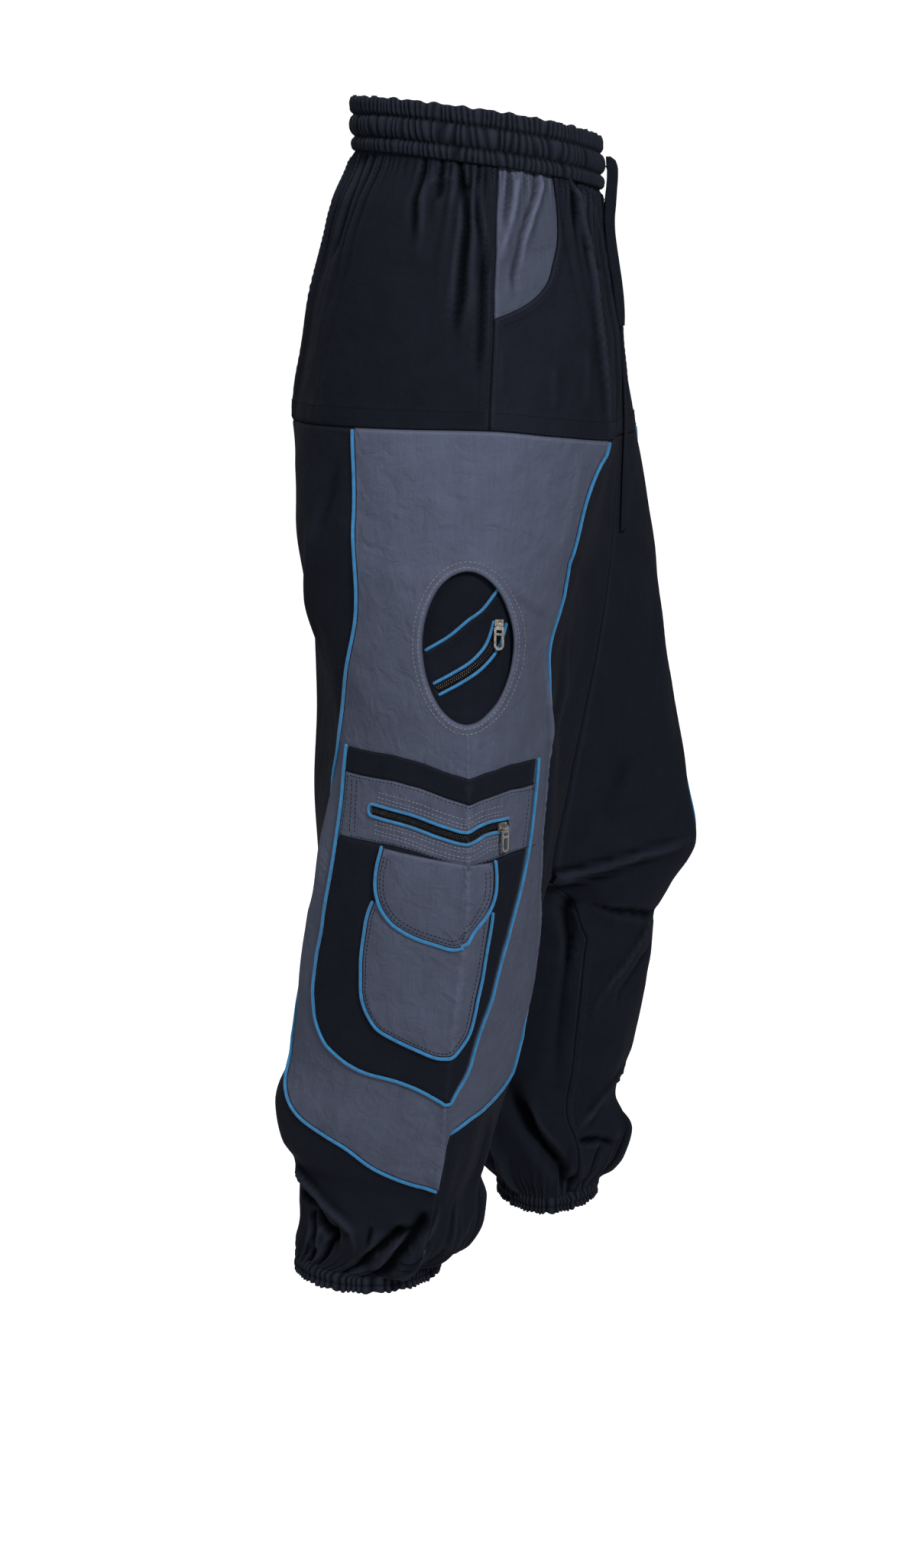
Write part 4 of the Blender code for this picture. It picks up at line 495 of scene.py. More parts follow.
def drape(side, phi, z):
    """How far the soft folds move the cloth out, in millimetres."""
    phi, z = np.broadcast_arrays(np.asarray(phi, float), np.asarray(z, float))
    ring = wrapped(phi)
    total = gathers(side, ring, z)
    below = z < CROTCH
    for crisp, fold_side, half_width, height, line in FOLDS:
        if fold_side not in (BOTH, side):
            continue
        line = np.array(line, float) * FLAT
        low, high = line.min(0) - 3 * half_width, line.max(0) + 3 * half_width
        for turn in ((-360, 0, 360) if line[:, 1].min() < CROTCH else (0,)):
            u = (ring + turn) * DEGREE
            close = (u > low[0]) & (u < high[0]) & (z > low[1]) & (z < high[1]) & (below | (turn == 0))
            if close.any():
                off, share = near_line(u[close], z[close], line)
                top_open = line[0, 1] > YOKE_TOP - 8
                low_open = line[-1, 1] < LOW_OPEN
                taper = (1 if top_open else ease(share / 0.3)) * (1 if low_open else ease((1 - share) / 0.35))
                spread = half_width * (0.75 + 0.5 * (share if not low_open else 1 - share * 0.5))
                section = np.exp((1 - np.sqrt(off**2 + 1)) / (0.62 * spread)) if crisp else bell(off, spread)
                total[close] += FOLD_DEPTH * height * taper * section
    u = ring * DEGREE
    apart = np.where(below, 1.0, ease((ring - CENTRE_FRONT) / 20) * ease((CENTRE_BACK - ring) / 20))
    turn = np.radians(ring)
    body = ease((YOKE_TOP - z) / 60) * ease((z - ANKLE_TOP[side]) / 25)
    soft = (1.3 * np.sin(3 * turn + z / 57 + side) * np.sin(z / 83 + 2 * turn)
            + 0.7 * np.sin(7 * turn - z / 31 + 2 * side) * np.sin(z / 47 + 1)
            + 0.35 * np.sin(13 * turn + z / 17) * np.sin(z / 29 - 5 * turn))
    # the side panel keeps a pressed crease down its middle
    pressed = CREASE_DEPTH * np.exp(-np.abs(ring - CREASE) * DEGREE / 9) * ease((CREASE_START - z) / 30)
    pressed = np.where(ring < 200, pressed, 0)
    # at the waist and ankle seams the folds are drawn in
    drawn = (0.4 + 0.6 * ease((YOKE_TOP - z) / 14)) * (0.4 + 0.6 * ease((z - ANKLE_TOP[side]) / 16))
    wrinkles = crumple(side, ring, z) * apart
    return total * drawn + (soft + wrinkles) * body * apart + pressed * body - 0.5 * (1 - ease((YOKE_TOP - z) / 8))


def relief(side, phi, z):
    """How deep in a trough, and how near the crest of a fold, places lie, each from 0 to 1; these set the painted shade
    and painted highlight.
    """
    wide, narrow, tall = 5.5 / DEGREE, 2.0 / DEGREE, 6.5
    ring = np.array(phi, float)
    here = drape(side, ring, z)

    def hollow(turn, rise):
        # how much lower a place is than those on two sides of it
        return (drape(side, ring - turn, z - rise) + drape(side, ring + turn, z + rise)) / 2 - here

    across, along = hollow(wide, 0), hollow(0, tall)
    trough = 0.9 * ease((np.maximum(across, along) - 0.2) / 2.9)
    crest = 0.75 * ease((-np.minimum(across, along) - 0.35) / 3.2)
    # the small pleats next to the elastic are narrower than that
    near = hollow(narrow, 0)
    close = np.maximum(np.exp(-np.clip(YOKE_TOP - z, 0, 400) / 24), np.exp(-np.clip(z - ANKLE_TOP[side], 0, 400) / 30))
    return np.maximum(trough, 0.9 * ease(near / 0.8) * close), np.maximum(crest, 0.8 * ease(-near / 0.6) * close)


def cloth_point(side, phi, z, height=0.0):
    """A point at a height off the draped cloth."""
    return skin(side, phi, z) + outward(side, phi, z) * (drape(side, phi, z) + height)[..., None]


# Side elevation to ring angle: a table for the outer side of the right half

STEP_Y, STEP_Z = 2.0, 4.0
ELEVATION_Y = np.arange(-140.0, 172.0, STEP_Y)
ELEVATION_Z = np.arange(-932.0, -232.0, STEP_Z)


def elevation_table():
    angles = np.linspace(0, 184, 369)
    rows = []
    for level in ELEVATION_Z:
        y = np.maximum.accumulate(skin(RIGHT, angles, np.full_like(angles, level))[:, 1] + angles * 1e-4)
        rows.append(np.interp(ELEVATION_Y, y, angles))
    return np.array(rows)


ELEVATION = elevation_table()


def ring_angle(y, z):
    """The ring angle on the outer side of the right half where the cloth lies at `y`."""
    u = np.clip((np.asarray(y, float) - ELEVATION_Y[0]) / STEP_Y, 0, len(ELEVATION_Y) - 1.001)
    v = np.clip((np.asarray(z, float) - ELEVATION_Z[0]) / STEP_Z, 0, len(ELEVATION_Z) - 1.001)
    i, j = u.astype(int), v.astype(int)
    s, t = u - i, v - j
    return ((1 - t) * ((1 - s) * ELEVATION[j, i] + s * ELEVATION[j, i + 1])
            + t * ((1 - s) * ELEVATION[j + 1, i] + s * ELEVATION[j + 1, i + 1]))


def side_place(y, z, height=0.0):
    """Ring angles and heights whose cloth points, `height` off, lie at y and z on the side elevation."""
    y, z = np.asarray(y, float), np.asarray(z, float)
    aim_y, aim_z = y.copy(), z.copy()
    for _ in range(4):
        phi = ring_angle(aim_y, aim_z)
        found = skin(RIGHT, phi, aim_z) + outward(RIGHT, phi, aim_z) * height
        aim_y, aim_z = aim_y + (y - found[..., 1]), aim_z + (z - found[..., 2])
    return phi, aim_z


def beside(line, distance):
    """A flat line moved sideways, to the left of its direction."""
    return line + turned_left(unit(np.gradient(line, axis=0))) * distance


def slot_line(line, half_width, spare):
    """The outline of a slot about a line, longer than the line by `spare` at each end."""
    ends = [line[0] - line[1], line[-1] - line[-2]]
    longer = line.copy()
    longer[[0, -1]] += [end / np.linalg.norm(end) * spare for end in ends]
    return np.concatenate([beside(longer, half_width), beside(longer, -half_width)[::-1]])


def oval_line(grow=0.0, count=96):
    turn = np.linspace(0, 2 * math.pi, count, endpoint=False)
    return np.stack([HOLE_MIDDLE[0] + (HOLE_HALF[0] + grow) * np.cos(turn),
                     HOLE_MIDDLE[1] + (HOLE_HALF[1] + grow) * np.sin(turn)], 1)


def inside(points, outline):
    """Which points of a plane lie within a closed outline."""
    found = np.zeros(len(points), bool)
    for (x0, y0), (x1, y1) in zip(outline, np.roll(outline, -1, 0)):
        crosses = (y0 > points[:, 1]) != (y1 > points[:, 1])
        if y0 != y1:
            found ^= crosses & (points[:, 0] < x0 + (points[:, 1] - y0) * (x1 - x0) / (y1 - y0))
    return found


def finely(line, step, closed=False):
    """Points about each `step` along a line's straight runs, its own points among them."""
    line = np.asarray(line, float)
    ring = np.concatenate([line, line[:1]]) if closed else line
    parts = [ring[:1]]
    for start, end in zip(ring, ring[1:]):
        count = max(1, int(np.ceil(np.linalg.norm(end - start) / step)))
        parts.append(start + (end - start) * np.linspace(0, 1, count + 1)[1:, None])
    found = np.concatenate(parts)
    return found[:-1] if closed else found


EDGE_ROWS = (1.1, 2.4, 4.2)
EDGE_REACH = 14.0


def edge_distance(points, outline):
    """How far points are from a closed outline, where that is less than about EDGE_REACH."""
    best = np.full(len(points), np.inf)
    for start, end in zip(outline, np.roll(outline, -1, 0)):
        run = end - start
        long = run @ run
        if long < 1e-12:
            continue
        close = (np.abs(points - start) < EDGE_REACH).all(1)
        if close.any():
            spot = points[close]
            part = np.clip((spot - start) @ run / long, 0, 1)
            best[close] = np.minimum(best[close], np.linalg.norm(spot - start - part[:, None] * run, axis=1))
    return best


def within(points, rings):
    """Which points lie inside the first closed outline and in none of the others."""
    found = inside(points, rings[0])
    for ring in rings[1:]:
        found &= ~inside(points, ring)
    return found


def rim_distance(points, rings):
    return np.minimum.reduce([edge_distance(points, ring) for ring in rings])


def fill_outline(outline, size, holes=(), zones=(), fold=None):
    """Places and triangles that fill a flat outline; `zones` are (above, below, size) bands of finer mesh."""
    rings = [finely(ring, 4.0, closed=True) for ring in (outline, *holes)]
    bands = [(-1e9, 1e9, size)]
    for low, high, fine in zones:
        bands = [part for a, b, s in bands for part in ((a, min(b, low), s), (max(a, low), min(b, high), fine),
                                                       (max(a, high), b, s)) if part[0] < part[1]]
    low, high = rings[0].min(0), rings[0].max(0)
    lattice = []
    for bottom, top, step in bands:
        bottom, top = max(bottom, low[1]), min(top, high[1])
        if bottom >= top:
            continue
        for k, v in enumerate(np.arange(bottom + step * 0.43, top, 0.87 * step)):
            u = np.arange(low[0] + (k % 2) * step / 2, high[0], step)
            lattice.append(np.stack([u, np.full_like(u, v)], 1))
    lattice = np.concatenate(lattice)
    lattice = lattice[within(lattice, rings)]
    away = rim_distance(lattice, rings)
    if fold is not None:
        fold = finely(fold, size * 0.9)
        off, _ = near_line(lattice[:, 0], lattice[:, 1], fold)
        away = np.minimum(away, off + EDGE_ROWS[-1])
    lattice = lattice[away > EDGE_ROWS[-1] + 1.2]
    rows = []
    for ring, turn in zip(rings, [1] + [-1] * len(holes)):
        area = np.sum(ring[:, 0] * np.roll(ring[:, 1], -1) - np.roll(ring[:, 0], -1) * ring[:, 1])
        inward = turned_left(unit(np.roll(ring, -1, 0) - np.roll(ring, 1, 0))) * np.sign(area) * turn
        for row in EDGE_ROWS:
            moved = ring + inward * row
            rows.append(moved[within(moved, rings) & (rim_distance(moved, rings) > row * 0.8)])
    spots = [*rings, *rows, lattice] if fold is None else [*rings, fold, *rows, lattice]
    loops, first = [], 0
    for ring in rings:
        loops += [(first + k, first + (k + 1) % len(ring)) for k in range(len(ring))]
        first += len(ring)
    if fold is not None:
        loops += [(first + k, first + k + 1) for k in range(len(fold) - 1)]
    flat = np.concatenate(spots)
    places, _, triangles, *_ = delaunay_2d_cdt([Vector(spot) for spot in flat], loops, [], 1, 1e-4)
    places = np.array([tuple(place) for place in places])
    triangles = np.array([tuple(corner) for corner in triangles], int)
    for ring in rings[1:]:
        middle = places[triangles].mean(1)
        triangles = triangles[~inside(middle, ring)]
    used, triangles = np.unique(triangles, return_inverse=True)
    places, triangles = places[used], triangles.reshape(-1, 3)
    return places, triangles, rim_distance(places, rings)


# Meshes and materials

def new_mesh_object(name, points, faces, uv=None, worn=None, deep=None):
    """A mesh object from points in millimetres, with its own flat pattern as a UV map."""
    data = bpy.data.meshes.new(name)
    data.from_pydata((np.asarray(points) * MM).tolist(), [], [list(face) for face in faces])
    if uv is not None:
        layer = data.uv_layers.new(name="UVMap")
        loops = np.zeros(len(data.loops), np.int32)
        data.loops.foreach_get("vertex_index", loops)
        layer.data.foreach_set("uv", np.asarray(uv)[loops].astype(np.float32).ravel())
    # worn is painted highlight on fold crests together with paler worn seams; deep is painted shade in troughs,
    # recesses and along edges
    for key, values in (("worn", worn), ("deep", deep)):
        if values is not None:
            spot = data.attributes.new(key, "FLOAT", "POINT")
            spot.data.foreach_set("value", np.asarray(values, np.float32))
    data.polygons.foreach_set("use_smooth", np.ones(len(data.polygons), bool))
    data.update()
    piece = bpy.data.objects.new(name, data)
    bpy.context.scene.collection.objects.link(piece)
    return piece


def turned_out(piece):
    """Turn a closed mesh's faces outward."""
    made = bmesh.new()
    made.from_mesh(piece.data)
    bmesh.ops.recalc_face_normals(made, faces=made.faces)
    if made.calc_volume(signed=True) < 0:
        bmesh.ops.reverse_faces(made, faces=made.faces)
    made.to_mesh(piece.data)
    made.free()
    return piece


def shell(name, outer, inner, triangles, uv, worn, deep):
    """A thin closed cloth wall between two sets of points that share their triangles."""
    half = len(outer)
    triangles = np.asarray(triangles)
    edges = {}
    for a, b, c in triangles.tolist():
        for start, end in ((a, b), (b, c), (c, a)):
            if edges.pop((end, start), None) is None:
                edges[start, end] = True
    faces = triangles.tolist() + (triangles[:, ::-1] + half).tolist()
    for a, b in edges:
        faces += [(b, a, a + half), (b, a + half, b + half)]
    piece = new_mesh_object(name, np.concatenate([outer, inner]), faces, np.concatenate([uv, uv]),
                            np.concatenate([worn, worn * 0]), np.concatenate([deep, deep * 0]))
    return turned_out(piece)


def node_with(tree, kind, place, **values):
    node = tree.nodes.new(kind)
    node.location = place
    for key, value in values.items():
        if hasattr(node, key):
            setattr(node, key, value)
        else:
            node.inputs[key].default_value = value
    return node


def link(tree, *joins):
    """Join sockets, each given as a node and its output, then a node and its input."""
    for source, output, target, socket in joins:
        tree.links.new(source.outputs[output], target.inputs[socket])


def made_once(make):
    """Let a material maker give what it made before under the same name."""
    def given(name, *rest, **options):
        return bpy.data.materials.get(name) or make(name, *rest, **options)
    return given


def new_finish(name, settings):
    """A new material, its node tree, and its shader with the named inputs set."""
    made = bpy.data.materials.new(name)
    made.use_nodes = True
    shader = made.node_tree.nodes["Principled BSDF"]
    for key, value in settings.items():
        shader.inputs[key].default_value = value
    return made, made.node_tree, shader


def shade(colour, share, more=0.0):
    return (*[channel * share + more for channel in colour], 1)


def two_tone(tree, place, low, high, ends=(0.3, 0.7)):
    """A ramp between two shades."""
    ramp = node_with(tree, "ShaderNodeValToRGB", place)
    stops = ramp.color_ramp.elements
    stops[0].position, stops[1].position = ends
    stops[0].color, stops[1].color = low, high
    return ramp


def scaled(tree, place, source, size, turn=0.0):
    """The flat pattern's coordinates, turned and scaled."""
    made = node_with(tree, "ShaderNodeMapping", place, Rotation=(0, 0, turn), Scale=size)
    link(tree, (source, "UV", made, "Vector"))
    return made


@made_once
def fabric(name, colour, lift, streak, crumpled, sheen, gloss):
    """Washed cotton: a fine weave, faint streaks along the thread, soft crumple, paler worn seams, painted highlight on
    crests and painted shade in troughs.
    """
    made, tree, shader = new_finish(name, {
        "Roughness": 0.85, "Sheen Weight": sheen, "Sheen Roughness": 0.45, "Sheen Tint": (0.75, 0.82, 1.0, 1.0),
        "Specular IOR Level": gloss})
    flat = node_with(tree, "ShaderNodeUVMap", (-1500, 0), uv_map="UVMap")
    solid = node_with(tree, "ShaderNodeTexCoord", (-1500, -500))
    mottle = node_with(tree, "ShaderNodeTexNoise", (-1000, 250), Scale=38.0, Detail=5.0, Roughness=0.6)
    drawn = scaled(tree, (-1250, 0), flat, (620.0, 26.0, 1.0))
    streaks = node_with(tree, "ShaderNodeTexNoise", (-1000, 0), Scale=1.0, Detail=3.0, Roughness=0.65)
    blend = node_with(tree, "ShaderNodeMix", (-780, 150), data_type="FLOAT")
    blend.inputs[0].default_value = streak
    ramp = two_tone(tree, (-560, 150), shade(colour, 1 - lift), shade(colour, 1 + lift))
    link(tree, (solid, "Object", mottle, "Vector"), (drawn, "Vector", streaks, "Vector"), (mottle, "Fac", blend, 2),
         (streaks, "Fac", blend, 3), (blend, 0, ramp, "Fac"))
    # painted light: paler towards a painted highlight (and worn seams) where worn is high, much darker as painted shade
    # where deep is high
    shades = ramp, "Color"
    for x, key, goal in ((-260, "worn", shade(colour, 1.9, 0.005)), (-60, "deep", shade(colour, 0.15))):
        mask = node_with(tree, "ShaderNodeAttribute", (x - 240, -120), attribute_name=key)
        moved = node_with(tree, "ShaderNodeMix", (x, 150), data_type="RGBA")
        moved.inputs[7].default_value = goal
        link(tree, (mask, "Fac", moved, 0), (*shades, moved, 6))
        shades = moved, 2
    # less gloss where the painted shade lies, so the troughs read darker
    shade_dimmed_gloss = node_with(tree, "ShaderNodeMath", (-60, -40), operation="MULTIPLY_ADD")
    shade_dimmed_gloss.inputs[1].default_value, shade_dimmed_gloss.inputs[2].default_value = -gloss, gloss
    link(tree, (*shades, shader, "Base Color"), (mask, "Fac", shade_dimmed_gloss, 0),
         (shade_dimmed_gloss, "Value", shader, "Specular IOR Level"))

    threads = scaled(tree, (-1250, -400), flat, (520.0, 480.0, 1.0))
    weave = node_with(tree, "ShaderNodeMath", (-780, -400), operation="ADD")
    for k, (run, y) in enumerate((("X", -300), ("Y", -520))):
        wave = node_with(tree, "ShaderNodeTexWave", (-1000, y), wave_type="BANDS", bands_direction=run, Scale=1.0)
        link(tree, (threads, "Vector", wave, "Vector"), (wave, "Fac", weave, k))
    nap = node_with(tree, "ShaderNodeTexNoise", (-1000, -740), Scale=700.0, Detail=3.0, Roughness=0.7)
    rumple = node_with(tree, "ShaderNodeTexNoise", (-1000, -960), Scale=55.0, Detail=4.0, Roughness=0.55,
                       Distortion=0.6)
    link(tree, (solid, "Object", nap, "Vector"), (solid, "Object", rumple, "Vector"))
    last = None
    for source, output, strength, distance in ((rumple, "Fac", crumpled, 0.0032), (nap, "Fac", 0.35, 0.0003),
                                               (weave, "Value", 0.4, 0.00012)):
        bump = node_with(tree, "ShaderNodeBump", (-300, -300), Strength=strength, Distance=distance)
        link(tree, (source, output, bump, "Height"), *([(last, "Normal", bump, "Normal")] if last else []))
        last = bump
    link(tree, (last, "Normal", shader, "Normal"))
    return made


@made_once
def cord_cloth(name, colour):
    """Bias-cut piping: a fine diagonal weave with a soft sheen."""
    made, tree, shader = new_finish(name, {"Roughness": 0.7, "Sheen Weight": 0.25, "Specular IOR Level": 0.3})
    flat = node_with(tree, "ShaderNodeUVMap", (-1200, 0), uv_map="UVMap")
    turned = scaled(tree, (-980, 0), flat, (900.0, 900.0, 1.0), math.radians(45))
    wave = node_with(tree, "ShaderNodeTexWave", (-760, -150), wave_type="BANDS", bands_direction="X", Scale=0.6)
    solid = node_with(tree, "ShaderNodeTexCoord", (-1200, 250))
    mottle = node_with(tree, "ShaderNodeTexNoise", (-760, 200), Scale=160.0, Detail=3.0)
    ramp = two_tone(tree, (-500, 200), shade(colour, 0.8), shade(colour, 1.18), (0.3, 0.72))
    bump = node_with(tree, "ShaderNodeBump", (-300, -150), Strength=0.5, Distance=0.0002)
    link(tree, (turned, "Vector", wave, "Vector"), (solid, "Object", mottle, "Vector"), (mottle, "Fac", ramp, "Fac"),
         (ramp, "Color", shader, "Base Color"), (wave, "Fac", bump, "Height"), (bump, "Normal", shader, "Normal"))
    return made


@made_once
def plain_finish(name, colour, roughness, metallic=0.0, rough_noise=0.0, bump=0.0, gloss=0.5):
    """Thread and metal: one colour with a little unevenness."""
    made, tree, shader = new_finish(name, {"Metallic": metallic, "Specular IOR Level": gloss})
    solid = node_with(tree, "ShaderNodeTexCoord", (-1000, 0))
    noise = node_with(tree, "ShaderNodeTexNoise", (-800, 0), Scale=420.0, Detail=4.0)
    ramp = two_tone(tree, (-560, 150), shade(colour, 0.6), shade(colour, 1.25), (0.3, 0.75))
    rough = node_with(tree, "ShaderNodeMapRange", (-560, -100))
    rough.inputs["To Min"].default_value = max(0.05, roughness - rough_noise)
    rough.inputs["To Max"].default_value = min(1.0, roughness + rough_noise)
    link(tree, (solid, "Object", noise, "Vector"), (noise, "Fac", ramp, "Fac"), (ramp, "Color", shader, "Base Color"),
         (noise, "Fac", rough, "Value"), (rough, "Result", shader, "Roughness"))
    if bump:
        dent = node_with(tree, "ShaderNodeBump", (-300, -200), Strength=0.4, Distance=bump)
        link(tree, (noise, "Fac", dent, "Height"), (dent, "Normal", shader, "Normal"))
    return made


def colour_setting(name, description, default):
    return bpy.props.FloatVectorProperty(name=name, description=description, subtype="COLOR", size=3, min=0, max=1,
                                         default=default)


def size_setting(name, description, default, **limits):
    return bpy.props.FloatProperty(name=name, description=description, default=default, unit="LENGTH", **limits)


class PantsColours(bpy.types.PropertyGroup):
    """Colours of the cloth and trims."""
    black: colour_setting("Black cloth", "Main cloth", (0.0064, 0.0077, 0.0130))
    grey: colour_setting("Grey cloth", "Contrast panels", (0.058, 0.067, 0.101))
    piping: colour_setting("Piping", "Cord along the seams", (0.0085, 0.139, 0.315))
    thread: colour_setting("Thread", "Topstitching", (0.0055, 0.006, 0.0085))
    grey_thread: colour_setting("Grey thread", "Topstitching of the zip panel", (0.20, 0.205, 0.24))
    teeth: colour_setting("Zip teeth", "Darkened brass", (0.052, 0.051, 0.050))
    metal: colour_setting("Zip pull", "Antique steel", (0.50, 0.465, 0.42))


class PantsSizes(bpy.types.PropertyGroup):
    """How finely the cloth is made, and how deep its shirring is."""
    leg_mesh: size_setting("Leg mesh", "Distance between points of the legs", 0.0052, min=0.002)
    fine_mesh: size_setting("Gather mesh", "Distance between points at the gathers", 0.0028, min=0.001)
    shirring: size_setting("Shirring", "Depth of the waistband's pleats", 0.0028, min=0)


class StageSizes(bpy.types.PropertyGroup):
    """Floor and lights."""
    floor_drop: size_setting("Floor", "Floor below the waist", 1.175)
    daylight: bpy.props.FloatProperty(name="Daylight", description="Soft light from all round", default=0.11)
    key: bpy.props.FloatProperty(name="Key light", description="Power of the main soft light", default=138.0)


def colour_of(name):
    return tuple(getattr(bpy.context.scene.pants_colours, name))


def cloth(kind):
    """The black or the grey cotton."""
    if kind == "black":
        return fabric("black cotton", colour_of("black"), 0.16, 0.35, 0.6, sheen=0.01, gloss=0.06)
    return fabric("grey cotton", colour_of("grey"), 0.17, 0.5, 0.95, sheen=0.02, gloss=0.10)


def finish_piece(piece, material, nodes=()):
    piece.data.materials.clear()
    piece.data.materials.append(material)
    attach(piece, "garment")
    if nodes:
        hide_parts(*nodes)
    return piece


def smallest_cut(flat):
    """Width and length of the smallest rectangle that holds a flat pattern, at whichever angle it is laid."""
    best = None
    for turn in np.radians(np.arange(0, 90, 3)):
        u = flat[:, 0] * math.cos(turn) + flat[:, 1] * math.sin(turn)
        v = flat[:, 1] * math.cos(turn) - flat[:, 0] * math.sin(turn)
        size = (float(np.ptp(u)), float(np.ptp(v)))
        if best is None or size[0] * size[1] < best[0] * best[1] * 0.98:
            best = size
    return best


def declare_cloth(piece, fullness=1.0):
    """Measure a panel's flat cut from its own surface, widened by the fullness taken up by its gathers; nothing is done
    with the measure.
    """
    uv = piece.data.uv_layers[0].data
    flat = np.zeros(len(uv) * 2, np.float32)
    uv.foreach_get("uv", flat)
    width, length = smallest_cut(flat.reshape(-1, 2))
    width *= fullness


def sewn(node, kind, faces, triangles, uv, marks, fullness=1.0):
    """A cloth piece from its outer and inner face, with its material, and its flat cut measured."""
    piece = shell(f"{node}_cloth", *faces, triangles, uv, *marks)
    finish_piece(piece, cloth(kind), [node])
    declare_cloth(piece, fullness)


def panel(node, side, kind, outline, holes=(), fold=None, size=None, zones=(), height=0.0, raised=None,
          fullness=1.0, held="hung", rests_on=("waistband",), shaded=0.0):
    """A sewn panel on the draped cloth, from its outline in ring angles and heights."""
    size = size or bpy.context.scene.pants_sizes.leg_mesh / MM
    places, triangles, away = fill_outline(outline * FLAT, size, [hole * FLAT for hole in holes], zones,
                                           None if fold is None else fold * FLAT)
    phi, z = places[:, 0] / DEGREE, places[:, 1]
    rounding = -0.9 * bell(away, 1.3)
    lift = height + rounding + (raised(phi, z) if raised else 0.0)
    push = drape(side, phi, z)
    base, out = skin(side, phi, z), outward(side, phi, z)
    faces = base + out * (push + lift)[:, None], base + out * (push + height - WALL)[:, None]
    trough, crest = relief(side, phi, z)
    # painted shade: the troughs of folds, a share over the whole panel (shaded) and a dark line along the edges;
    # painted highlight on crests, and paler worn cloth a little in from the edges
    deep = np.maximum(shaded + (1 - 1.6 * shaded) * trough, 0.55 * bell(away, 0.9))
    worn = np.maximum(crest, 0.3 * bell(away - 2.4, 1.2))
    sewn(node, kind, faces, triangles, np.stack([places[:, 0], z], 1) * MM, (worn, deep), fullness)


# Seams and outlines

def seam_line(side, line, step, gap=0.0):
    """Points about `step` apart along a seam, moved off it to the left of its run by `gap`."""
    line = np.asarray(line, float) * FLAT
    line = through(line, int(runs_of(line)[-1] / step) + 1) / FLAT
    phi, z = line.T
    per_degree = np.linalg.norm(skin(side, phi + 1, z) - skin(side, phi - 1, z), axis=1) / 2
    per_mm = np.linalg.norm(skin(side, phi, z + 2) - skin(side, phi, z - 2), axis=1) / 4
    scale = np.stack([per_degree, per_mm], 1)
    return line + turned_left(unit(np.gradient(line, axis=0) * scale)) / scale * gap


def spaced(start, end, step):
    return np.linspace(start, end, int(abs(end - start) / step) + 2)


def hem_line(start, end, lift):
    """The hem of the yokes between two ring angles, moved up by `lift`."""
    angles = spaced(start, end, 2.0)
    return np.stack([angles, smooth_rows(YOKE_HEM, angles)[:, 0] + lift], 1)


def panel_seams(side, gap, step=5.0):
    """The front and back seams of a side panel, from the hem to its tip, moved into the panel by `gap`."""
    front = seam_line(side, LEFT_FRONT_SEAM if side == LEFT else FRONT_SEAM, step, gap)
    back = seam_line(side, BACK_SEAM, step, -gap)
    front[-1] = back[-1] = (CREASE, FRONT_SEAM[-1][1] + gap)
    front[0, 1], back[0, 1] = smooth_rows(YOKE_HEM, [front[0, 0], back[0, 0]])[:, 0] - SEAM_GAP / 2
    return front, back


def mouth_line(lift=0.0, inward=0.0):
    """The curved mouth of a hand pocket, moved up and towards the front."""
    return through(np.array(POCKET_MOUTH)[:, ::-1] * FLAT, 36) / FLAT + (-inward / DEGREE, lift)


def column(angle, start, end):
    heights = spaced(start, end, 5.0)
    return np.stack([np.full(len(heights), angle), heights], 1)


def level(start, end, height):
    angles = spaced(start, end, 2.0)
    return np.stack([angles, np.full(len(angles), height)], 1)


# Stitches, cords and repeated small parts

STITCH_LENGTH, STITCH_PITCH = 2.9, 3.9
STITCH_SIZE = (0.36, 0.36, 0.5)
TOOTH_SIZE, TOOTH_BEVEL = (0.95, 2.5, 1.2), 0.22
TOOTH_PITCH = 1.9
TOOTH_STARTS = ((-1, 0.4), (1, 1.35))  # side of the zip's line, and where its first tooth is
TOOTH_ASIDE, TOOTH_LIFT = 1.05, 0.75
STITCH_LIFT = 0.05
SEWN_GAP = 0.2  # between a cord and the edge of the cloth beside it


def prototype(kind):
    """One stitch or zip tooth, modelled once: its points and faces in millimetres."""
    bpy.ops.object.select_all(action="DESELECT")
    if kind == "stitch":
        bpy.ops.mesh.primitive_uv_sphere_add(segments=5, ring_count=4, radius=1.0)
    else:
        bpy.ops.mesh.primitive_cube_add(size=1.0)
    bpy.ops.object.mode_set(mode="EDIT")
    bpy.ops.mesh.select_all(action="SELECT")
    bpy.ops.transform.resize(value=STITCH_SIZE if kind == "stitch" else TOOTH_SIZE)
    if kind == "tooth":
        bpy.ops.mesh.bevel(offset=TOOTH_BEVEL, segments=1, affect="EDGES")
    bpy.ops.object.mode_set(mode="OBJECT")
    made = bpy.context.active_object
    data = made.data
    points = np.array([vert.co for vert in data.vertices])
    # sorted, because the sphere's faces come in another order each run
    faces = sorted(tuple(face.vertices) for face in data.polygons)
    bpy.data.objects.remove(made)
    bpy.data.meshes.remove(data)
    return points, faces


def spread_copies(name, kind, spots, along, out):
    """Copies of a small part at spots, each turned to its run and its outward direction, as one mesh."""
    points, faces = prototype(kind)
    across = unit(np.cross(out, along))
    out = np.cross(along, across)
    axes = (across, out, along * STITCH_LENGTH) if kind == "stitch" else (along, across, out)
    turned = sum(points[None, :, k, None] * axis[:, None] for k, axis in enumerate(axes))
    every = [tuple(index + k * len(points) for index in face) for k in range(len(spots)) for face in faces]
    return new_mesh_object(name, (spots[:, None] + turned).reshape(-1, 3), every)


def run_along(points, pitch, start):
    """Evenly spaced spots along a line, the line's direction there, and how far along it they are."""
    runs = runs_of(points)
    at = np.arange(start, runs[-1], pitch)

    def spots_at(places):
        return np.stack([np.interp(places, runs, values) for values in points.T], 1)

    return spots_at(at), unit(spots_at(at + 0.6) - spots_at(at - 0.6)), at


def side_spots(line, height):
    """Points on the right side at a height off the cloth, and their outward directions."""
    phi, z = side_place(line[:, 0], line[:, 1], height)
    return cloth_point(RIGHT, phi, z, height), outward(RIGHT, phi, z)


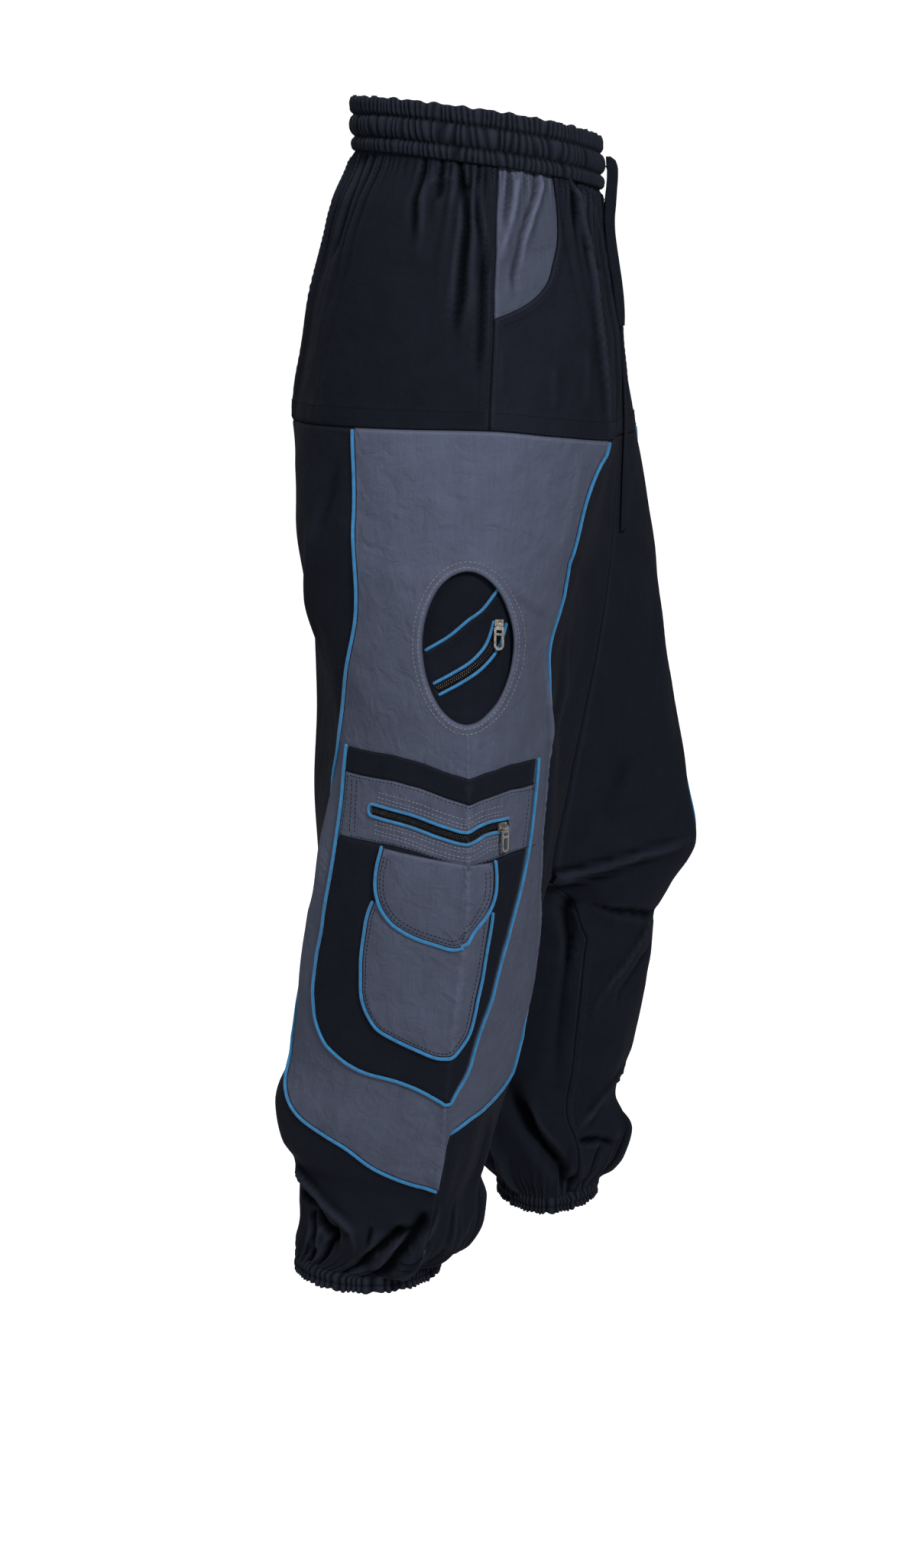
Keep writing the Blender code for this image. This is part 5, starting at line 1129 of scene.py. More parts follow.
class StitchLines:
    """Topstitching lines gathered up, then made as one mesh."""

    def __init__(self):
        self.lines = []

    def add(self, points, normals):
        spots, along, at = run_along(points, STITCH_PITCH, STITCH_PITCH / 2)
        near = np.clip(np.searchsorted(runs_of(points), at), 0, len(normals) - 1)
        self.lines.append((spots, along, normals[near]))

    def on_cloth(self, side, line, height):
        """A row of stitches along ring angles and heights."""
        phi, z = (finely(line * FLAT, 2.0) / FLAT).T
        self.add(cloth_point(side, phi, z, height), outward(side, phi, z))

    def on_side(self, line, height):
        """A row of stitches along a side-elevation line on the right, at a height off the cloth."""
        self.add(*side_spots(finely(line, 2.0), height))

    def in_bag(self, line, kept):
        """A row of stitches on the pocket behind the oval hole."""
        y, z = finely(line, 2.0)[kept].T
        self.add(bag_place(y, z, LAYER + STITCH_LIFT), bag_normals(y, z, LAYER))

    def make(self, name, thread="thread"):
        piece = spread_copies(name, "stitch", *(np.concatenate(part) for part in zip(*self.lines)))
        finish_piece(piece, plain_finish(thread, colour_of(thread), 0.8, gloss=0.08))


def tube_faces(count, sides):
    """The two end faces of a tube of rings, and the faces between its rings."""
    ends = [tuple(range(sides))[::-1], tuple((count - 1) * sides + k for k in range(sides))]
    walls = [(i * sides + k, i * sides + n, (i + 1) * sides + n, (i + 1) * sides + k)
             for i in range(count - 1) for k, n in zip(range(sides), [*range(1, sides), 0])]
    return ends, walls


def round_cord(node, points, radius, sides=12, stands_for_node=True):
    """A piping as a closed tube with rounded ends along a line."""
    along = unit(np.gradient(points, axis=0))
    first = np.cross(along[0], (1, 0, 0) if abs(along[0][0]) < 0.9 else (0, 1, 0))
    frames = []
    u = first / np.linalg.norm(first)
    for direction in along:
        u = u - direction * (u @ direction)
        u /= np.linalg.norm(u)
        frames.append((u, np.cross(direction, u)))
    turn = np.linspace(0, 2 * math.pi, sides, endpoint=False)

    def ring(k, share=1.0, reach=0.0):
        a, b = frames[k]
        return points[k] + along[k] * reach * radius + radius * share * (np.cos(turn)[:, None] * a
                                                                         + np.sin(turn)[:, None] * b)

    rings = [ring(0, 0.35, -0.9), ring(0, 0.8, -0.55), *[ring(k) for k in range(len(points))],
             ring(-1, 0.8, 0.55), ring(-1, 0.35, 0.9)]
    runs = runs_of(points)
    runs = [runs[0] - radius, runs[0] - radius / 2, *runs, runs[-1] + radius / 2, runs[-1] + radius]
    ends, walls = tube_faces(len(rings), sides)
    uv = np.stack([np.tile(turn * radius, len(rings)), np.repeat(runs, sides)], 1) * MM
    piece = turned_out(new_mesh_object(f"{node}_cord", np.concatenate(rings), walls + ends, uv))
    finish_piece(piece, cord_cloth("piping cloth", colour_of("piping")),
                 [node] if stands_for_node else [])


def side_cord(node, line, height, radius=PIPING_RADIUS, step=2.5, sides=12, kept=slice(None), **options):
    """A piping on the right side along a side-elevation line, its middle at a height off the cloth."""
    round_cord(node, side_spots(finely(line, step)[kept], height)[0], radius, sides, **options)


# Operators

VIEW_PITCH, VIEW_RUN = -13.3, (0.99255, 0.12187)
VIEW_FROM, VIEW_LENS = (-2.0089, -0.2301, -0.112), 50.5
WHITE = (1.0, 1.0, 1.0, 1.0)
# Lamps: name, place, where each points, its size, and its share of the key light's power
LAMPS = (("key", (-2.7, -1.5, 1.6), (0, 0, -0.55), 0.8, 1.0), ("fill", (-2.6, 1.8, 0.7), (0, 0, -0.6), 1.2, 0.2),
         ("top", (-0.4, 0.3, 2.6), (0, 0, 0), 1.2, 0.3), ("back", (2.4, 1.2, 1.2), (0, 0, -0.5), 1.6, 0.3))


def shown_to_viewer(tree, plain, shown, share, output):
    """Light with one shader, and show the viewer a share of another."""
    seen = node_with(tree, "ShaderNodeLightPath", (-460, 400))
    part = node_with(tree, "ShaderNodeMath", (-200, 400), operation="MULTIPLY")
    part.inputs[1].default_value = share
    blend = node_with(tree, "ShaderNodeMixShader", (300, 300))
    link(tree, (seen, "Is Camera Ray", part, 0), (part, "Value", blend, 0), (*plain, blend, 1), (*shown, blend, 2),
         (blend, "Shader", tree.nodes[output], "Surface"))


class PANTS_OT_stage(bpy.types.Operator):
    """Camera, pale floor and soft studio lights"""
    bl_idname = "pants.stage"
    bl_label = "Stage"

    def execute(self, context):
        scene = context.scene
        stage = scene.pants_stage
        pitch = math.radians(VIEW_PITCH)
        forward = Vector((math.cos(pitch) * VIEW_RUN[0], math.cos(pitch) * VIEW_RUN[1], math.sin(pitch)))
        data = bpy.data.cameras.new("Camera")
        data.sensor_fit = "VERTICAL"
        data.sensor_height = 36.0
        data.lens = VIEW_LENS
        data.clip_start, data.clip_end = 0.05, 60.0
        camera = bpy.data.objects.new("Camera", data)
        camera.location = VIEW_FROM
        camera.rotation_euler = forward.to_track_quat("-Z", "Y").to_euler()
        scene.collection.objects.link(camera)
        scene.camera = camera

        bpy.ops.object.select_all(action="DESELECT")
        bpy.ops.mesh.primitive_circle_add(vertices=96, radius=14.0, fill_type="NGON",
                                          location=(0, 0, -stage.floor_drop))
        floor = context.active_object
        floor.name = "floor"
        made, tree, shader = new_finish("floor white", {"Roughness": 0.55, "Specular IOR Level": 0.3})
        solid = node_with(tree, "ShaderNodeTexCoord", (-900, 0))
        noise = node_with(tree, "ShaderNodeTexNoise", (-700, 0), Scale=2.0, Detail=2.0)
        ramp = two_tone(tree, (-460, 0), (0.48, 0.48, 0.49, 1), (0.54, 0.54, 0.54, 1), (0, 1))
        link(tree, (solid, "Object", noise, "Vector"), (noise, "Fac", ramp, "Fac"),
             (ramp, "Color", shader, "Base Color"))
        # the floor is overexposed to white where it is seen, and only reflects as paper elsewhere
        glow = node_with(tree, "ShaderNodeEmission", (-200, 200), Strength=1.45)
        shown_to_viewer(tree, (shader, "BSDF"), (glow, "Emission"), 0.78, "Material Output")
        floor.data.materials.append(made)

        world = bpy.data.worlds.new("studio")
        world.use_nodes = True
        tree = world.node_tree
        soft = tree.nodes["Background"]
        soft.inputs["Color"].default_value = WHITE
        soft.inputs["Strength"].default_value = stage.daylight
        backdrop = node_with(tree, "ShaderNodeBackground", (-100, -200), Color=WHITE, Strength=1.05)
        shown_to_viewer(tree, (soft, "Background"), (backdrop, "Background"), 1.0, "World Output")
        scene.world = world
        scene.view_settings.view_transform = "Standard"
        scene.view_settings.look = "None"
        for name, place, aim, wide, power in LAMPS:
            light = bpy.data.lights.new(name, "AREA")
            light.shape = "SQUARE"
            light.size = wide
            light.energy = stage.key * power
            lamp = bpy.data.objects.new(name, light)
            lamp.location = place
            lamp.rotation_euler = (Vector(aim) - Vector(place)).to_track_quat("-Z", "Y").to_euler()
            scene.collection.objects.link(lamp)
        return {"FINISHED"}


# Elastic bands

def round_runs(ring):
    """How far round a closed ring each of its points is, and the whole way round."""
    steps = np.linalg.norm(np.roll(ring, -1, 0) - ring, axis=1)
    return np.concatenate([[0], np.cumsum(steps)[:-1]]), steps.sum()


def band(node, outer, inner, run, fall, worn, deep):
    """A closed elastic band, from its outer and inner face as places round it and down it."""
    loop = np.concatenate([outer, inner], 1)
    around, rows = loop.shape[:2]
    index = np.arange(around * rows).reshape(around, rows)
    ahead, below = np.roll(index, -1, 0), np.roll(index, -1, 1)
    faces = np.stack([index, below, np.roll(ahead, -1, 1), ahead], -1).reshape(-1, 4)
    uv = np.stack([np.repeat(run, rows), np.tile(fall, around)], 1) * MM
    marks = [np.concatenate([mark, np.zeros(inner.shape[:2])], 1).ravel() for mark in (worn, deep)]
    piece = turned_out(new_mesh_object(f"{node}_cloth", loop.reshape(-1, 3), faces.tolist(), uv, *marks))
    return finish_piece(piece, cloth("black"), [node])


# The waistband's outer face, top to bottom: height, how far it stands out, depth of its pleats
BAND_PROFILE = ((20.5, 1.6, 0.9), (18.5, 2.6, 1.0), (13, 3.1, 1.0), (8.4, 2.2, 1.0), (6.5, 0.6, 0.6), (4.6, 2.4, 0.9),
                (1, 4.1, 1.0), (-3, 4.6, 1.0), (-7, 4.0, 1.0), (-10, 2.2, 0.9), (-11.7, 0.6, 0.6),
                (-13.4, 2.2, 0.9), (-16.5, 3.7, 1.0), (-20.2, 3.4, 1.0), (-22.6, 2.6, 0.9), (-23.6, 1.6, 0.7))
# Its three shirred rows from the top: where each ends, and the width and sharpness of its pleats
BAND_TOP, RUFFLE_START = 40.0, 12.0
BAND_ROWS = ((6.5, 4.8, 1.0), (-11.7, 7.2, 1.1), (-30.0, 5.6, 0.9))
BAND_COLUMNS = 680  # round each half


class PANTS_OT_waistband(bpy.types.Operator):
    """The elastic waistband with its three shirred rows"""
    bl_idname = "pants.waistband"
    bl_label = "Waistband"

    def execute(self, context):
        depth = context.scene.pants_sizes.shirring / MM
        halves = [(side, np.linspace(start, end, BAND_COLUMNS + 1)[:-1])
                  for side, start, end in ((RIGHT, CENTRE_FRONT, CENTRE_BACK), (LEFT, CENTRE_BACK, CENTRE_FRONT))]
        heights, stand, share = through(BAND_PROFILE, 42, spread=1).T
        # pleats run on across the centre seams
        run, length = round_runs(np.concatenate([skin(side, angles, 0.0) for side, angles in halves]))
        turn = 2 * math.pi * run / length
        pleats = np.zeros((len(run), len(heights)))
        high = BAND_TOP
        for row, (low, pitch, sharp) in enumerate(BAND_ROWS):
            wander = (0.3 * np.sin(9 * turn + row) + 0.17 * np.sin(23 * turn + 2.1 * row)
                      + 0.12 * np.sin(41 * turn + row * 3.3) + 0.09 * np.sin(67 * turn + row))
            in_row = (heights <= high) & (heights > low)
            shear = 0.024 * (heights[None, :] - low) * np.sin(15 * turn + row * 1.7)[:, None]
            u = round(length / pitch) * run[:, None] / length + wander[:, None] + shear
            uneven = 0.8 + 0.2 * np.sin(31 * turn + 2 * row) * np.sin(12 * turn + row)
            crest = 1 - (1 - pleat(u, 0.62 * sharp)) * uneven[:, None]
            pleats[:, in_row] = (crest - 0.7)[:, in_row]
            high = low
        swell = 0.5 * np.sin(5 * turn + 0.6) + 0.4 * np.sin(11 * turn)
        stands = stand[None, :] + pleats * depth * share[None, :] * 1.25 + 0.3 * swell[:, None]
        ruffle = 0.6 * np.sin(37 * turn) + 0.5 * np.sin(61 * turn + 1)
        above = heights[None, :] - RUFFLE_START
        lifted = np.where(above > 0, ruffle[:, None] * (above / 8.5), 0)

        def face(off):
            return np.concatenate([
                skin(side, angles[:, None], heights[None, :] + lift)
                + outward(side, angles[:, None], heights[None, :]) * off_half[..., None]
                for (side, angles), off_half, lift in zip(halves, np.split(off, 2), np.split(lifted, 2))])

        outer = face(stands)
        kept = np.linspace(len(heights) - 1, 0, 9).astype(int)
        inner = face(np.minimum(stands - 1.5, 0.4))[:, kept]
        # painted shade in the pleats' creases and along the two recessed shirring rows; painted highlight on the
        # pleats' crests
        seams = sum(bell(heights - low, 1.3) for low, _, _ in BAND_ROWS[:2])
        deep = np.clip(np.clip(-pleats * 1.3 - 0.1, 0, 0.85) + 0.45 * seams[None, :], 0, 0.9)
        worn = 0.7 * np.clip(pleats / 0.3, 0, 1) ** 1.5
        piece = band("waistband", outer, inner, run, np.concatenate([heights, heights[kept]]), worn, deep)
        return {"FINISHED"}


YOKE_LOW = -240.0  # straight seams of the yokes end here, a little above the hem
# How wide the turned hems of the yokes, the pocket mouths and the oval hole are
HEM_WIDE, MOUTH_HEM_WIDE, HOLE_HEM_WIDE = 18.5, 10.5, 9.5


class PANTS_OT_yokes(bpy.types.Operator):
    """The hip yokes and the facings of the hand pockets"""
    bl_idname = "pants.yokes"
    bl_label = "Yokes"

    def execute(self, context):
        half = SEAM_GAP / 2
        fine = context.scene.pants_sizes.fine_mesh / MM
        gathered = {"size": 4.0, "zones": ((-66.0, -22.0, 2.4), (-125.0, -66.0, fine)), "held": "gathered"}

        def hem(phi, z):
            drop = z - smooth_rows(YOKE_HEM, phi)[:, 0]
            return 0.7 * ease((HEM_WIDE - drop) / 3)

        def lip(phi, z):
            off, _ = near_line(phi * DEGREE, z, mouth_line() * FLAT)
            return hem(phi, z) + 0.6 * ease((MOUTH_HEM_WIDE - off) / 2.5)

        for side, label in SIDES:
            mouth = mouth_line(lift=half, inward=half)
            mouth[0, 1] = YOKE_EDGE
            seam = SIDE_SEAM - half / DEGREE
            mouth[-1, 0] = seam
            outline = np.concatenate([
                level(CENTRE_FRONT, mouth[0, 0], YOKE_EDGE)[:-1], mouth, column(seam, -156, YOKE_LOW),
                hem_line(seam, CENTRE_FRONT, half), column(CENTRE_FRONT, -255, -27)])
            panel(f"yoke_front_{label}", side, "black", outline, raised=lip, fullness=1.12, **gathered)
            seam = SIDE_SEAM + half / DEGREE
            outline = np.concatenate([
                level(CENTRE_BACK, seam, YOKE_EDGE)[:-1], column(seam, YOKE_EDGE, YOKE_LOW),
                hem_line(seam, CENTRE_BACK, half), column(CENTRE_BACK, YOKE_LOW, -27)])
            # the back yokes get a share of painted shade all over
            panel(f"yoke_back_{label}", side, "black", outline, raised=hem, fullness=1.15, shaded=0.2,
                  fold=column(CREASE, -26, YOKE_LOW), **gathered)
            seam = SIDE_SEAM - 0.15
            inner = mouth_line(lift=-FACING_LAP * 0.7, inward=FACING_LAP)
            inner = inner[inner[:, 0] < seam - 4]
            inner[0, 1] = YOKE_EDGE
            outline = np.concatenate([inner, column(seam, -161, YOKE_EDGE), level(seam, inner[0, 0], YOKE_EDGE)[1:-1]])
            # the facing lies in painted shade, as in a recess
            panel(f"pocket_facing_{label}", side, "grey", outline, size=2.6, height=-1.9, fullness=1.15,
                  held="gathered", shaded=0.36)
        return {"FINISHED"}


class PANTS_OT_side_panels(bpy.types.Operator):
    """The grey U-shaped side panels, with the hemmed oval hole in the right one"""
    bl_idname = "pants.side_panels"
    bl_label = "Side panels"

    def execute(self, context):
        for side, label in SIDES:
            front, back = panel_seams(side, SEAM_GAP / 2)
            top = hem_line(back[0, 0], front[0, 0], -SEAM_GAP / 2)[1:-1]
            outline = np.concatenate([front, back[-2::-1], top])
            holes, raised = [], None
            if side == RIGHT:
                hole = np.stack(side_place(*oval_line().T), 1)
                holes = [hole]

                def raised(angles, heights):
                    off, _ = near_line(angles * DEGREE, heights, np.concatenate([hole, hole[:1]]) * FLAT)
                    return 0.3 * ease((HOLE_HEM_WIDE - off) / 3.5)
            panel(f"side_panel_{label}", side, "grey", outline, holes=holes, raised=raised, size=5.2,
                  fold=column(CREASE, -250, -908), rests_on=[f"yoke_front_{label}", f"yoke_back_{label}"])
        return {"FINISHED"}


class PANTS_OT_legs(bpy.types.Operator):
    """The black front and back leg panels, gathered into the ankle elastic"""
    bl_idname = "pants.legs"
    bl_label = "Legs"

    def execute(self, context):
        half = SEAM_GAP / 2
        fine = context.scene.pants_sizes.fine_mesh / MM
        for side, label in SIDES:
            seams = panel_seams(side, -half)
            low = ANKLE_TOP[side]
            for name, seam, centre, turned, sign in (("front", seams[0], CENTRE_FRONT, 0, 1),
                                                     ("back", seams[1], CENTRE_BACK, 360, -1)):
                crease = CREASE - sign * CREASE_GAP
                inseam_z = np.linspace(low, CROTCH, 70)
                inner = smooth_rows(INSEAM[side], inseam_z)[:, 0] + turned + sign * INSEAM_GAP
                outline = np.concatenate([
                    hem_line(centre, seam[0, 0], -half)[:-1], seam[:-1], column(crease, seam[-1, 1], low),
                    level(crease, inner[0], low)[1:-1], np.stack([inner, inseam_z], 1),
                    level(inner[-1], centre, CROTCH)[1:-1],
                    column(centre, CROTCH, smooth_rows(YOKE_HEM, [centre])[0, 0] - half)[:-1]])
                panel(f"leg_{name}_{label}", side, "black", outline,
                      zones=((low - 5, low + 34, 1.8), (low + 34, low + 105, fine)), fullness=1.1, held="gathered",
                      rests_on=[f"yoke_{name}_{label}", f"ankle_{label}"])
        return {"FINISHED"}


# The ankles' outer face, top to bottom: how far down, how far it stands out, depth of its pleats
ANKLE_PROFILE = ((0, 0.6, 0.9), (3.0, 1.2, 1.0), (6.5, 1.4, 1.0), (9.6, 0.8, 0.8), (10.8, 0.4, 0.6),
                 (12.2, 1.4, 0.9), (14.8, 2.2, 1.1), (17.0, 2.0, 1.3))
ANKLE_COLUMNS = 640


class PANTS_OT_ankles(bpy.types.Operator):
    """The ruffled elastic hems"""
    bl_idname = "pants.ankles"
    bl_label = "Ankles"

    def execute(self, context):
        down, stand, share = through(ANKLE_PROFILE, 26, spread=1).T
        angles = np.linspace(-90, 270, ANKLE_COLUMNS + 1)[:-1]
        turn = np.radians(angles)
        blend = ease(down / 6)[None, :]
        frill = ease((down - 9) / 4)
        for side, label in SIDES:
            heights = ANKLE_TOP[side] + 0.6 - down
            run, _ = round_runs(skin(side, angles, heights[10]))
            turns = ankle_turns(side, angles)
            crest = pleat(turns, 0.7)
            ruffle = pleat(turns + 0.12 * np.sin(11 * turn), 0.8)
            uneven = 0.75 + 0.25 * np.sin(13 * turn + 2 * side)
            start = drape(side, angles, ANKLE_TOP[side] + 0.3) - 0.6
            pleats = (1 - frill) * (crest - 0.62)[:, None] + frill * (ruffle - 0.62)[:, None]
            own = stand[None, :] + 2.4 * share[None, :] * (pleats * uneven[:, None])
            off = start[:, None] * (1 - blend) + own * blend
            hang = -(0.9 * (crest - 0.5) + 0.7 * np.sin(19 * turn + side))[:, None] * ease((down - 9) / 8)[None, :]
            places_z = heights[None, :] + hang
            on_form = np.maximum(places_z, LOWEST)
            base = skin(side, angles[:, None], on_form)
            base[..., 2] += places_z - on_form
            out = outward(side, angles[:, None], heights[None, :])
            outer = base + out * off[..., None]
            kept = np.linspace(len(down) - 1, 0, 8).astype(int)
            inner = (base + out * np.minimum(off - 1.4, 0.4)[..., None])[:, kept]
            # painted shade in the pleats' creases and along the recessed row below the elastic; painted highlight on
            # the crests
            deep = np.clip(0.8 - crest[:, None] * 1.25, 0, 0.8) * (0.6 + 0.4 * blend)
            deep = np.clip(deep + 0.4 * bell(down - 10.6, 1.2)[None, :], 0, 0.9)
            worn = 0.7 * ease((crest - 0.62) / 0.38)[:, None] * (1 - ease((down - 15) / 2))[None, :]
            fall = np.concatenate([-down, -down[kept] - 1.5])
            piece = band(f"ankle_{label}", outer, inner, run, fall, worn, deep)
        return {"FINISHED"}


class PANTS_OT_side_pipings(bpy.types.Operator):
    """The blue piping along the side panels' seams"""
    bl_idname = "pants.side_pipings"
    bl_label = "Side pipings"

    def execute(self, context):
        for side, label in SIDES:
            for name, line in zip(("front", "back"), panel_seams(side, 0.0, step=3.0)):
                height = np.full(len(line), PIPING_RADIUS * 0.82)
                if name == "front" and side == RIGHT:
                    # a fold of the panel stands over the cord down the thigh
                    height -= 1.0 * ease((-388 - line[:, 1]) / 14) * ease((line[:, 1] + 800) / 14)
                if name == "front":
                    # past the pressed crease the cord is tucked under the panel's edge
                    height -= 5.0 * ease((line[:, 0] - 72) / 8) * ease((-846 - line[:, 1]) / 10)
                points = cloth_point(side, line[:, 0], line[:, 1], height)
                points = points[1:-2] if name == "front" else points[1:-1]
                round_cord(f"side_piping_{name}_{label}", points, PIPING_RADIUS)
        return {"FINISHED"}


def side_layer(node, kind, outline, height, holes=(), size=4.5, domed=0.0):
    """A pocket piece on the right side: a side-elevation outline laid on the draped cloth at a height off it."""
    places, triangles, away = fill_outline(outline, size, holes, fold=crease_within(outline, holes))
    phi, z = side_place(places[:, 0], places[:, 1], height)
    push, base, out = drape(RIGHT, phi, z), skin(RIGHT, phi, z), outward(RIGHT, phi, z)
    lift = height - 0.7 * bell(away, 1.2) + domed * ease(away / 18)
    faces = base + out * (push + lift)[:, None], base + out * (push + height - POCKET_WALL)[:, None]
    trough, crest = relief(RIGHT, phi, z)
    # painted highlight on crests with paler worn edges; painted shade in troughs and along the edges
    marks = np.maximum(crest, 0.35 * bell(away - 1.4, 1.0)), np.maximum(trough, 0.5 * bell(away, 0.8))
    uv = np.stack([-places[:, 0], places[:, 1]], 1) * MM
    sewn(node, kind, faces, triangles, uv, marks)


def crease_within(outline, holes):
    """The part of the pressed crease that runs inside an outline on the side elevation."""
    heights = np.arange(outline[:, 1].min() - 2, outline[:, 1].max() + 2, 1.0)
    line = skin(RIGHT, CREASE, heights)[:, 1:]
    rings = [outline, *holes]
    keep = np.flatnonzero(within(line, rings) & (rim_distance(line, rings) > 1.5))
    longest = max(np.split(keep, np.flatnonzero(np.diff(keep) > 1) + 1), key=len)
    return line[longest][::-1] if len(longest) > 4 else None


def cargo_outline():
    return through(CARGO_REAR + CARGO_FRONT, 120)


def strip_top(longer):
    """The top line of the cargo pocket, longer at both ends."""
    top = np.array(STRIP_TOP, float)
    top[[0, -1], 0] += (longer, -longer)
    return top


def lowered(line, depth):
    return line - (0, depth)


def clip_between(top, bottom, sides):
    """The outline of a band between two lines that run front to back, kept within a pocket's sides."""
    rear, front = sides

    def at(line, edge):
        # where a line meets the pocket's edge: both are near-straight there
        gaps = np.abs(line[:, None, 1] - edge[None, :, 1]) * 3 + np.abs(line[:, None, 0] - edge[None, :, 0])
        i, j = np.unravel_index(np.argmin(gaps), gaps.shape)
        return i, j
    top, bottom = finely(top, 2.0), finely(bottom, 2.0)
    a, b = at(top, rear), at(top, front)
    c, d = at(bottom, rear), at(bottom, front)
    upper = top[min(a[0], b[0]):max(a[0], b[0]) + 1]
    lower = bottom[min(c[0], d[0]):max(c[0], d[0]) + 1]
    rear_side = rear[min(a[1], c[1]):max(a[1], c[1]) + 1]
    front_side = front[min(b[1], d[1]):max(b[1], d[1]) + 1]
    if upper[0, 0] < upper[-1, 0]:
        upper = upper[::-1]
    if lower[0, 0] > lower[-1, 0]:
        lower = lower[::-1]
    front_side = front_side[np.argsort(-front_side[:, 1])]
    rear_side = rear_side[np.argsort(rear_side[:, 1])]
    return tidy_outline(np.concatenate([upper, front_side, lower, rear_side]))


def tidy_outline(line, least=0.8):
    """An outline without points that crowd together."""
    kept = [line[0]]
    for point in line[1:]:
        if np.linalg.norm(point - kept[-1]) > least:
            kept.append(point)
    if np.linalg.norm(kept[0] - kept[-1]) < least:
        kept.pop()
    return np.array(kept)


ZIP_SLOT = (ZIP_TAPE_HALF + 0.35, 0.35)  # half width of a zip's slot, and how much longer than the zip it is
# Pieces on the cargo pocket: node, outline, layer, number of points, its piping, and which of the piping's points
OVER_POCKET = (("patch_pocket", PATCH, 2, 90, "patch_piping", slice(3, -3)),
               ("pocket_flap", FLAP, 3, 70, "flap_piping", slice(None)))


class PANTS_OT_cargo_pocket(bpy.types.Operator):
    """The U-shaped cargo pocket with its strip, zip panel, flap and patch"""
    bl_idname = "pants.cargo_pocket"
    bl_label = "Cargo pocket"

    def execute(self, context):
        edge_gap = PIPING_RADIUS + SEWN_GAP
        cord_height = PIPING_RADIUS * 0.9
        piping = cargo_outline()
        outline = beside(piping, -edge_gap)
        low = int(np.argmin(outline[:, 1]))
        rear, front = outline[:low + 1], outline[low:]
        top = strip_top(8)
        strip_low, panel_low = lowered(top, STRIP_DEPTH), lowered(top, ZIP_PANEL_DEPTH)
        side_layer("cargo_strip", "black", clip_between(top, strip_low, (rear, front)), LAYER)
        side_layer("cargo_zip_panel", "grey", clip_between(lowered(strip_low, 0.4), panel_low, (rear, front)), LAYER,
                   [tidy_outline(slot_line(through(ZIP_LINE, 40), *ZIP_SLOT))])
        line = finely(lowered(panel_low, 0.4), 2.0)
        cut_rear, cut_front = (part[part[:, 1] < np.interp(part[:, 0], line[::-1, 0], line[::-1, 1])]
                               for part in (rear, front))
        span = line[(line[:, 0] < cut_rear[0, 0] - 0.5) & (line[:, 0] > cut_front[-1, 0] + 0.5)]
        side_layer("cargo_pocket", "black", tidy_outline(np.concatenate([span, cut_front[::-1], cut_rear[::-1]])),
                   LAYER)
        side_cord("cargo_piping", piping, cord_height + 0.3)
        for node, line, number, count, trim, kept in OVER_POCKET:
            edge = through(line, count)
            side_layer(node, "grey", tidy_outline(beside(edge, -edge_gap)), number * LAYER, domed=0.9)
            side_cord(trim, edge, (number - 1) * LAYER + cord_height + 0.3, kept=kept)
        return {"FINISHED"}


# Behind the oval hole

def bag_place(y, z, height):
    """Points on the dished backing behind the oval hole, moved out by `height`."""
    share = np.hypot((y - HOLE_MIDDLE[0]) / (HOLE_HALF[0] + BAG_MARGIN),
                     (z - HOLE_MIDDLE[1]) / (HOLE_HALF[1] + BAG_MARGIN))
    dip = BAG_DEPTH * np.clip(1 - share**2, 0, 1)
    phi, level_z = side_place(y, z, 0.0)
    normal = outward(RIGHT, phi, level_z)
    slope = np.maximum(np.abs(normal[:, 0]), 0.5)
    base = skin(RIGHT, phi, level_z) + normal * (drape(RIGHT, phi, level_z) * ease((share - 0.7) / 0.3))[:, None]
    rumple = 0.5 * np.sin(y / 6 + z / 17) * np.sin(z / 11) * np.clip(1 - share, 0, 1)
    return np.stack([base[:, 0] + (WALL + BAG_GAP + dip - height + rumple) / slope, y, z], 1)


def bag_normals(y, z, height):
    """Which way the backing faces, from places a millimetre to each side."""
    a = bag_place(y + 1.0, z, height) - bag_place(y - 1.0, z, height)
    b = bag_place(y, z + 1.0, height) - bag_place(y, z - 1.0, height)
    normal = np.cross(b, a)
    return unit(normal * -np.sign(normal[:, :1] + 1e-12))


def bag_layer(node, outline, height, holes=(), size=3.6):
    """A black piece on the backing behind the oval hole."""
    places, triangles, away = fill_outline(outline, size, holes)
    y, z = places.T
    faces = bag_place(y, z, height + POCKET_WALL - 0.6 * bell(away, 1.2)), bag_place(y, z, height)
    # the backing is in painted shade all over, as it lies behind the hole; its edges are paler
    sewn(node, "black", faces, triangles, np.stack([-y, z], 1) * MM, (0.4 * bell(away, 1.5), 0.15 * np.ones(len(y))))


class PANTS_OT_inner_pocket(bpy.types.Operator):
    """The dark backing behind the oval hole and the pocket on it"""
    bl_idname = "pants.inner_pocket"
    bl_label = "Inner pocket"

    def execute(self, context):
        bag_layer("inner_bag", oval_line(BAG_MARGIN, 72), -POCKET_WALL)
        edge = through(INNER_EDGE, 40)
        under = beside(edge, ZIP_PIPING_RADIUS + SEWN_GAP)
        limit = oval_line(BAG_MARGIN - 5, 120)
        below = np.concatenate([under, ((-75, -420), (-75, -520), (45, -520), (45, -430))])
        rim = limit[inside(limit, below)]
        # the rim's points in order, from one end of the piped edge round to the other
        turn = np.unwrap(np.arctan2(rim[:, 1] - HOLE_MIDDLE[1], rim[:, 0] - HOLE_MIDDLE[0]) - math.pi / 2 * 0.9)
        rim = rim[np.argsort(turn % (2 * math.pi))]
        across = under[inside(under, limit)]
        if np.linalg.norm(rim[-1] - across[0]) > np.linalg.norm(rim[-1] - across[-1]):
            across = across[::-1]
        bag_layer("inner_pocket", tidy_outline(np.concatenate([rim, across])), LAYER_GAP,
                  [tidy_outline(slot_line(through(INNER_ZIP_LINE, 30), *ZIP_SLOT))])
        round_cord("inner_pocket_piping", bag_place(*finely(edge, 2.0).T, 0.3 + ZIP_PIPING_RADIUS), ZIP_PIPING_RADIUS)
        return {"FINISHED"}


